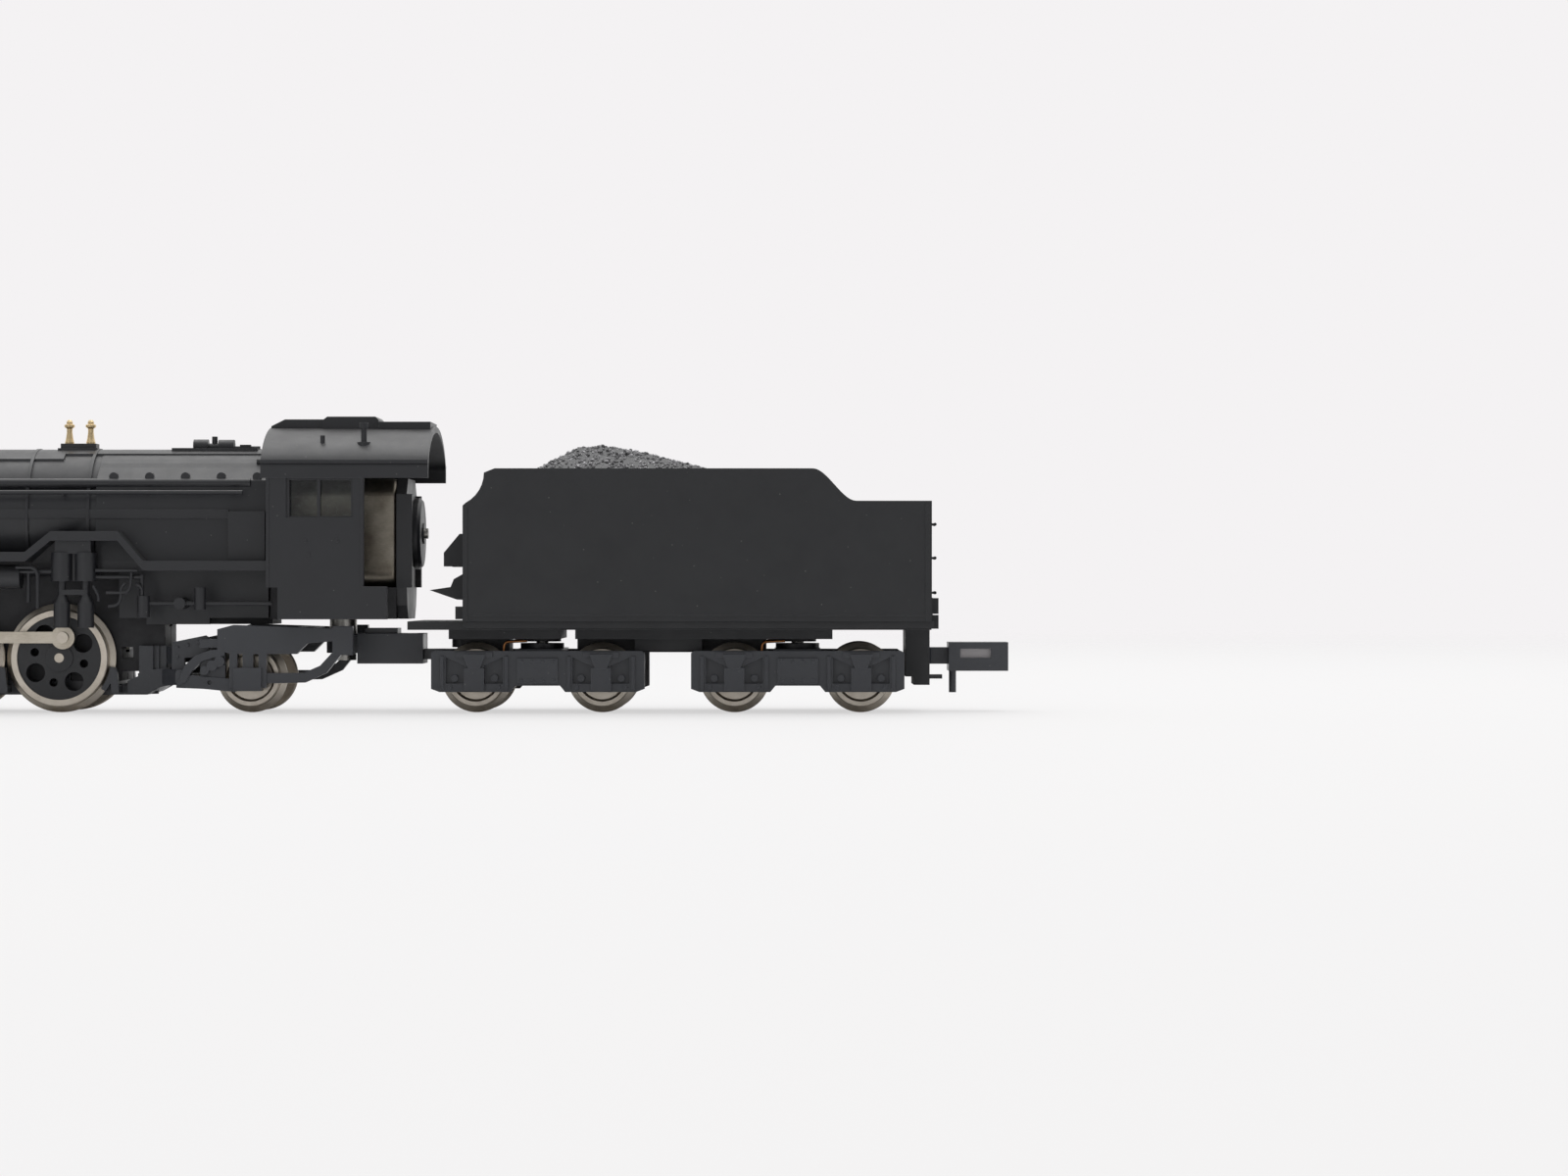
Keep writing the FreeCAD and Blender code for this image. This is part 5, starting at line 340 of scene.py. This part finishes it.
# %% Give each CAD node its finish
wheel_numbers = range(1, 5)
finish_of = {
    "satin_black_abs": [
        "boiler_shell", "smokebox_front", "headlight", "whistle_and_generator", "running_boards",
        "feedwater_pump", "air_compressor", "smoke_deflectors", "front_beam", "cab_shell", "roof_hatch",
        "cylinder_block", "motor_holder", "motor_end_cap", "flywheel"],
    "matt_black_abs": ["tender_body", "tender_frame"],
    "blue_black_acetal": [
        "keeper_plate", "leading_truck", "trailing_truck", "front_bogie_frame", "rear_bogie_frame",
        "front_coupler", "rear_coupler", "drawbar"],
    "wheel_centre_abs": [f"driver_{number}_centres" for number in wheel_numbers],
    "natural_acetal": ["idler_gear", "axle_gear", "worm"],
    "nickel_silver_tyre": [f"driver_{number}_wheelset" for number in wheel_numbers],
    "nickel_silver_carrier": [f"tender_wheelset_{number}" for number in wheel_numbers]
    + ["leading_wheelset", "trailing_wheelset"],
    "turned_free_cutting_steel": ["chassis_screws", "bogie_screws", "motor_armature"],
    "turned_brass": ["safety_valves"],
    "nickel_plated_rod": [
        "coupling_rod_left", "coupling_rod_right", "main_rod_left", "main_rod_right", "crosshead_left",
        "crosshead_right", "valve_gear"],
    "plated_motor_can": ["motor_can"],
    "rolled_phosphor_bronze": ["pickup_strips"],
    "blackened_zinc_casting": ["chassis_left", "chassis_right", "tender_weight"],
    "clear_polystyrene": ["cab_glazing"],
    "crushed_coal": ["coal_load"],
}
for finish, names in finish_of.items():
    for name in names:
        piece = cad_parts[name]
        for index in range(len(piece.data.materials)):
            piece.data.materials[index] = finishes[finish]
listed = {name for names in finish_of.values() for name in names}
print("nodes without a finish:", sorted(set(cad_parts) - listed))

# %% [markdown]
# The coal heap of the CAD model is a smooth mound. Grains are dropped on it from above: a random
# spot inside the heap's box, a ray straight down, and a crushed lump where the ray lands. A BVH
# tree of the mound answers the rays quickly, and the seed makes every run the same.

# %% Grains of coal
rock = random.Random(41)
GRAIN_COUNT = 4200
ICO = (1 + math.sqrt(5)) / 2
ICO_CORNERS = [Vector(p).normalized() for p in (
    (-1, ICO, 0), (1, ICO, 0), (-1, -ICO, 0), (1, -ICO, 0), (0, -1, ICO), (0, 1, ICO),
    (0, -1, -ICO), (0, 1, -ICO), (ICO, 0, -1), (ICO, 0, 1), (-ICO, 0, -1), (-ICO, 0, 1))]
ICO_FACES = [
    (0, 11, 5), (0, 5, 1), (0, 1, 7), (0, 7, 10), (0, 10, 11), (1, 5, 9), (5, 11, 4), (11, 10, 2),
    (10, 7, 6), (7, 1, 8), (3, 9, 4), (3, 4, 2), (3, 2, 6), (3, 6, 8), (3, 8, 9), (4, 9, 5),
    (2, 4, 11), (6, 2, 10), (8, 6, 7), (9, 8, 1)]


def mound_tree(name):
    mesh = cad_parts[name].data
    corners = [v.co.copy() for v in mesh.vertices]
    return BVHTree.FromPolygons(corners, [tuple(p.vertices) for p in mesh.polygons])


def lump(centre, size):
    """One crushed grain: a ball of twenty faces, squeezed, turned and knocked about."""
    turn = Euler([rock.uniform(0, math.tau) for _ in range(3)]).to_matrix()
    squeeze = Vector([rock.uniform(0.55, 1.0) for _ in range(3)])
    corners = []
    for corner in ICO_CORNERS:
        knocked = corner * rock.uniform(0.72, 1.12)
        shaped = Vector([knocked[axis] * squeeze[axis] for axis in range(3)])
        corners.append(centre + turn @ shaped * size / 2)
    return corners


def make_coal():
    tree = mound_tree("coal_load")
    low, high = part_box("coal_load")
    points, faces, grain_tones_and_glints = [], [], []
    while len(faces) < GRAIN_COUNT * len(ICO_FACES):
        x, y = rock.uniform(low.x, high.x), rock.uniform(low.y, high.y)
        hit = tree.ray_cast(Vector((x, y, high.z + 0.01)), Vector((0, 0, -1)))[0]
        if hit is None:
            continue
        size = rock.choice((0.3, 0.36, 0.42, 0.5, 0.6)) * MM
        start = len(points)
        points += lump(hit - Vector((0, 0, rock.uniform(-0.1, 0.35) * size)), size)
        faces += [tuple(start + corner for corner in face) for face in ICO_FACES]
        # One random tone for the whole grain, which also sets how much painted glint it gets.
        grain_tones_and_glints += [rock.random() ** 1.2] * len(ICO_FACES)
    mesh = bpy.data.meshes.new("coal_grains")
    mesh.from_pydata(points, [], faces)
    mesh.attributes.new("grain_tone_and_glint", "FLOAT", "FACE").data.foreach_set("value", grain_tones_and_glints)
    mesh.materials.append(finishes["crushed_coal"])
    grains = bpy.data.objects.new("coal_grains", mesh)
    bpy.context.scene.collection.objects.link(grains)
    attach(grains, "tender")
    return grains


coal_grains = make_coal()
print("coal grains:", GRAIN_COUNT, "faces:", len(coal_grains.data.polygons))

# %% [markdown]
# **Fine pipework.** On the real model the pump under the footplate carries thin moulded pipes,
# bent from one end of the pump to the firebox. A pipe is a path with a round section, so each is
# a curve with a bevel: corners are given as distances from the pump's front lower corner, and a
# short straight piece is cut off each corner and bent, the way a plumber's spring leaves it. They
# are looks only, and ride the chassis together with the pump.

# %% Pipes and wires
def bent_pipe(name, corners, radius_mm, material, body):
    """A round pipe or wire through corners in millimetres of the model, bent softly at each."""
    path = [Vector(corners[0]) * MM]
    for before, corner, after in zip(corners, corners[1:], corners[2:]):
        before, corner, after = (Vector(point) * MM for point in (before, corner, after))
        cut = min(0.5 * MM, (before - corner).length / 2, (after - corner).length / 2)
        start = corner + (before - corner).normalized() * cut
        end = corner + (after - corner).normalized() * cut
        for step in range(6):
            t = step / 5
            path.append(start * (1 - t) ** 2 + corner * 2 * t * (1 - t) + end * t ** 2)
    path.append(Vector(corners[-1]) * MM)
    curve = bpy.data.curves.new(name, "CURVE")
    curve.dimensions = "3D"
    curve.bevel_depth = radius_mm * MM
    curve.bevel_resolution = 4
    curve.use_fill_caps = True
    spline = curve.splines.new("POLY")
    spline.points.add(len(path) - 1)
    for point, place in zip(spline.points, path):
        point.co = (*place, 1.0)
    curve.materials.append(finishes[material])
    pipe = bpy.data.objects.new(name, curve)
    bpy.context.scene.collection.objects.link(pipe)
    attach(pipe, body)
    return pipe


PIPE_INSET = 0.5
pump_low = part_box("feedwater_pump")[0]
pump_x, pump_y, pump_z = pump_low.x / MM, pump_low.y / MM + PIPE_INSET, pump_low.z / MM
pipe_runs = {
    "pipe_front": ([(5.7, 5.7), (7.3, 5.7), (7.75, 5.2), (7.75, 1.8)], 0.19),
    "pipe_rear": ([(13.2, 5.4), (17.2, 5.4)], 0.17),
    "pipe_drain": ([(13.0, 4.0), (13.5, 3.0), (13.5, 2.5)], 0.15),
    "pipe_loop_high": ([(14.2, 3.3), (16.2, 3.3), (16.5, 3.9), (16.6, 5.2)], 0.15),
    "pipe_loop_low": ([(14.4, 2.0), (15.3, 2.1), (15.6, 2.8), (15.6, 3.8), (16.0, 4.2)], 0.15),
    "pipe_return": ([(17.6, 3.1), (17.6, 3.8), (17.1, 4.1)], 0.15),
}
for pipe_name, (run, pipe_radius) in pipe_runs.items():
    places = [(pump_x + along, pump_y, pump_z + up) for along, up in run]
    bent_pipe(pipe_name, places, pipe_radius, "satin_black_abs", "chassis")
print("pipes:", sorted(pipe_runs))

# %% [markdown]
# The tender picks up current through its bogies: thin phosphor-bronze tongues rise beside each
# pivot, and a springy wire presses on the strip in the floor above. Only their ends show in the
# gap between the bogie and the floor.

# %% Pick-up wires in the gap over the bogies
WIRE_ASIDE = 4.2
WIRE_RADIUS = 0.13
frame_low, frame_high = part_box("tender_frame")
for bogie_name in ("front_bogie", "rear_bogie"):
    bogie_low, bogie_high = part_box(bogie_name + "_frame")
    middle = (bogie_low.x + bogie_high.x) / 2 / MM
    top = bogie_high.z / MM
    for side_name, side in (("left", -1), ("right", 1)):
        y = side * WIRE_ASIDE
        wire = [(middle - 3.4, y, top - 1.4), (middle - 3.4, y, top + 0.15), (middle - 1.2, y, top + 0.25)]
        bent_pipe(f"pickup_wire_{bogie_name}_{side_name}", wire, WIRE_RADIUS, "rolled_phosphor_bronze",
                  bogie_name)
print("pick-up wires: 4")

# %% [markdown]
# **Coupler springs and lamp glass.** Each hook coupler has a slot that a pale moulded leaf spring
# fills, and the headlight has a clear domed glass. The leaf is a thin plate with its edges
# bevelled in the mesh; the glass is one curve of a dome turned about the lamp's axis.

# %% Leaf springs in the couplers
def bevelled_plate(name, low, high, edge_mm, material, body):
    """A thin plate between two corners, with every edge rounded in the mesh."""
    mesh = bpy.data.meshes.new(name)
    build = bmesh.new()
    bmesh.ops.create_cube(build, size=1.0)
    for corner in build.verts:
        corner.co = Vector([low[k] + (corner.co[k] + 0.5) * (high[k] - low[k]) for k in range(3)])
    bmesh.ops.bevel(build, geom=build.edges[:], offset=edge_mm * MM, segments=3, affect="EDGES")
    build.to_mesh(mesh)
    build.free()
    mesh.materials.append(finishes[material])
    plate = bpy.data.objects.new(name, mesh)
    bpy.context.scene.collection.objects.link(plate)
    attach(plate, body)
    return plate


LEAF_INSET = 0.35 * MM
LEAF_EDGE_MM = 0.12
for end, inward in (("rear", -1), ("front", 1)):
    hook_low, hook_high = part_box(end + "_coupler")
    outer_x = hook_high.x if end == "rear" else hook_low.x
    leaf_x = sorted((outer_x + inward * 1.5 * MM, outer_x + inward * 4.9 * MM))
    leaf_z = (hook_high.z - 2.3 * MM, hook_high.z - 0.5 * MM)
    leaf_low = (leaf_x[0], hook_low.y + LEAF_INSET, leaf_z[0])
    leaf_high = (leaf_x[1], hook_high.y - LEAF_INSET, leaf_z[1])
    bevelled_plate(end + "_coupler_leaf", leaf_low, leaf_high, LEAF_EDGE_MM, "pale_acetal_leaf",
                   end + "_coupler")


# %% Lamp glass
def lamp_glass(name, centre, radius, depth, body):
    """Dome of clear plastic about the x axis, bulging toward the front of the engine."""
    mesh = bpy.data.meshes.new(name)
    build = bmesh.new()
    bmesh.ops.create_uvsphere(build, u_segments=40, v_segments=20, radius=1.0)
    for corner in build.verts:
        corner.co = centre + Vector((corner.co.x * depth, corner.co.y * radius, corner.co.z * radius))
    build.to_mesh(mesh)
    build.free()
    for face in mesh.polygons:
        face.use_smooth = True
    mesh.materials.append(finishes["clear_polystyrene"])
    glass = bpy.data.objects.new(name, mesh)
    bpy.context.scene.collection.objects.link(glass)
    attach(glass, body)


lamp_low, lamp_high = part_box("headlight")
lamp_size = (lamp_high.y - lamp_low.y) / 2
lamp_centre = Vector((lamp_low.x + 0.25 * MM, 0.0, lamp_high.z - lamp_size))
lamp_glass("headlight_glass", lamp_centre, lamp_size * 0.72, 0.24 * MM, "chassis")
print("coupler leaves: 2, lamp glasses: 1")

# %% [markdown]
# **Floor and light.** The model stands on plain white card under a wide, soft light. The card
# fades out some way from the model into the same white as the world, so no horizon shows at any
# height. Thin card over a light table is lit a little from below, so a shadow on it is never
# deep; OWN_GLOW is the share of that light that the camera sees. The world is brighter overhead
# and behind than in front, as with one large softbox over the table, and this lets black plastic
# stay black on its sides and shine on its top edges. A narrow strip light off to the engine's
# side draws upright glints on the round parts.

# %% Card floor
FLOOR_RADIUS = 2.4
FADE_START = 0.22
FADE_END = 0.75
OWN_GLOW = 0.68


def card_floor():
    made, output = new_material("white_card")
    tree = made.node_tree
    place = node(tree, "TexCoord").outputs["Object"]
    fibre = node(tree, "TexNoise", inputs={"Vector": place, "Scale": per_metre(1.2), "Detail": 6.0})
    cloud = node(tree, "TexNoise", inputs={"Vector": place, "Scale": per_metre(60.0), "Detail": 3.0})
    tone = node(tree, "MixRGB", inputs={
        "Fac": cloud.outputs["Fac"], "Color1": linear("#e8e8ea"), "Color2": linear("#ebeae9")})
    bump = node(tree, "Bump", inputs={"Height": fibre.outputs["Fac"], "Distance": 0.01 * MM,
                                      "Strength": 0.3})
    shader = node(tree, "BsdfPrincipled", inputs={
        "Base Color": tone.outputs["Color"], "Roughness": 0.8, "Specular IOR Level": 0.2,
        "Normal": bump.outputs["Normal"]})
    reach = node(tree, "VectorMath", {"operation": "LENGTH"}, {0: place})
    fade = node(tree, "MapRange", {"interpolation_type": "SMOOTHSTEP"}, {
        "Value": reach.outputs["Value"], "From Min": FADE_START, "From Max": FADE_END})
    gone = node(tree, "BsdfTransparent")
    under_light = node(tree, "Emission", inputs={"Color": linear("#f2f1f1"), "Strength": 1.0})
    ray = node(tree, "LightPath")
    share = node(tree, "Math", {"operation": "MULTIPLY"}, {0: ray.outputs["Is Camera Ray"], 1: OWN_GLOW})
    lit_card = node(tree, "MixShader", inputs={
        0: share.outputs["Value"], 1: shader.outputs["BSDF"], 2: under_light.outputs["Emission"]})
    mixed = node(tree, "MixShader", inputs={
        0: fade.outputs["Result"], 1: lit_card.outputs["Shader"], 2: gone.outputs["BSDF"]})
    tree.links.new(mixed.outputs["Shader"], output.inputs["Surface"])
    rim = [(FLOOR_RADIUS * math.cos(math.tau * i / 96), FLOOR_RADIUS * math.sin(math.tau * i / 96), 0)
           for i in range(96)]
    mesh = bpy.data.meshes.new("card_floor")
    mesh.from_pydata(rim, [], [tuple(range(96))])
    mesh.materials.append(made)
    floor = bpy.data.objects.new("card_floor", mesh)
    floor.location = (model_centre.x, model_centre.y, cad_box[0].z - 0.02 * MM)
    bpy.context.scene.collection.objects.link(floor)
    return floor


card_floor()

# %% World and softbox
SEEN_WHITE = "#f4f2f3"


def studio_world():
    world = bpy.data.worlds.new("studio_world")
    world.use_nodes = True
    tree = world.node_tree
    tree.nodes.clear()
    direction = node(tree, "TexCoord").outputs["Generated"]
    lean = node(tree, "VectorMath", {"operation": "DOT_PRODUCT"}, {0: direction, 1: (0.0, 0.55, 0.83)})
    glow = node(tree, "MapRange", {"interpolation_type": "SMOOTHSTEP"}, {
        "Value": lean.outputs["Value"], "From Min": -0.35, "From Max": 0.75, "To Min": 0.24,
        "To Max": 1.0})
    lit = node(tree, "Background", inputs={"Color": linear("#ffffff"), "Strength": glow.outputs["Result"]})
    seen = node(tree, "Background", inputs={"Color": linear(SEEN_WHITE), "Strength": 1.0})
    ray = node(tree, "LightPath")
    chosen = node(tree, "MixShader", inputs={
        0: ray.outputs["Is Camera Ray"], 1: lit.outputs["Background"], 2: seen.outputs["Background"]})
    output = node(tree, "OutputWorld")
    tree.links.new(chosen.outputs["Shader"], output.inputs["Surface"])
    bpy.context.scene.world = world


def softbox(name, place, size, power):
    """A square area light that looks at the model's middle."""
    data = bpy.data.lights.new(name, "AREA")
    data.shape = "RECTANGLE"
    data.size, data.size_y = size
    data.energy = power
    lamp = bpy.data.objects.new(name, data)
    lamp.location = place
    aim = model_centre - Vector(place)
    lamp.rotation_mode = "QUATERNION"
    lamp.rotation_quaternion = aim.to_track_quat("-Z", "Y")
    bpy.context.scene.collection.objects.link(lamp)


studio_world()
softbox("overhead_softbox", (0.03, 0.10, 0.55), (0.7, 0.5), 1.8)
softbox("side_strip", (-0.16, -0.42, 0.16), (0.06, 0.34), 0.09)
bpy.context.scene.view_settings.view_transform = "Standard"
bpy.context.scene.view_settings.look = "None"
bpy.context.scene.view_settings.exposure = 0.0
print("lights:", [lamp.name for lamp in bpy.data.lights])

# %% [markdown]
# **Camera.** A long lens, level with the middle of the boiler side and well back, keeps the
# model's lines straight. It stands off to the tender's end, so the engine runs out of the frame
# on the left and the tender stands in the middle of a wide empty space.

# %% Camera
CAMERA_HEIGHT = 11.85 * MM
CAMERA_BACK = 364.7 * MM
CAMERA_ALONG = 54.25 * MM

camera_data = bpy.data.cameras.new("camera")
camera_data.lens = 86.8
camera_data.sensor_width = 36.0
camera_data.clip_start = 0.01
camera_data.clip_end = 20.0
camera = bpy.data.objects.new("camera", camera_data)
camera.location = (model_centre.x + CAMERA_ALONG, model_centre.y - CAMERA_BACK, cad_box[0].z + CAMERA_HEIGHT)
camera.rotation_euler = (math.radians(90), 0, 0)
bpy.context.scene.collection.objects.link(camera)
bpy.context.scene.camera = camera
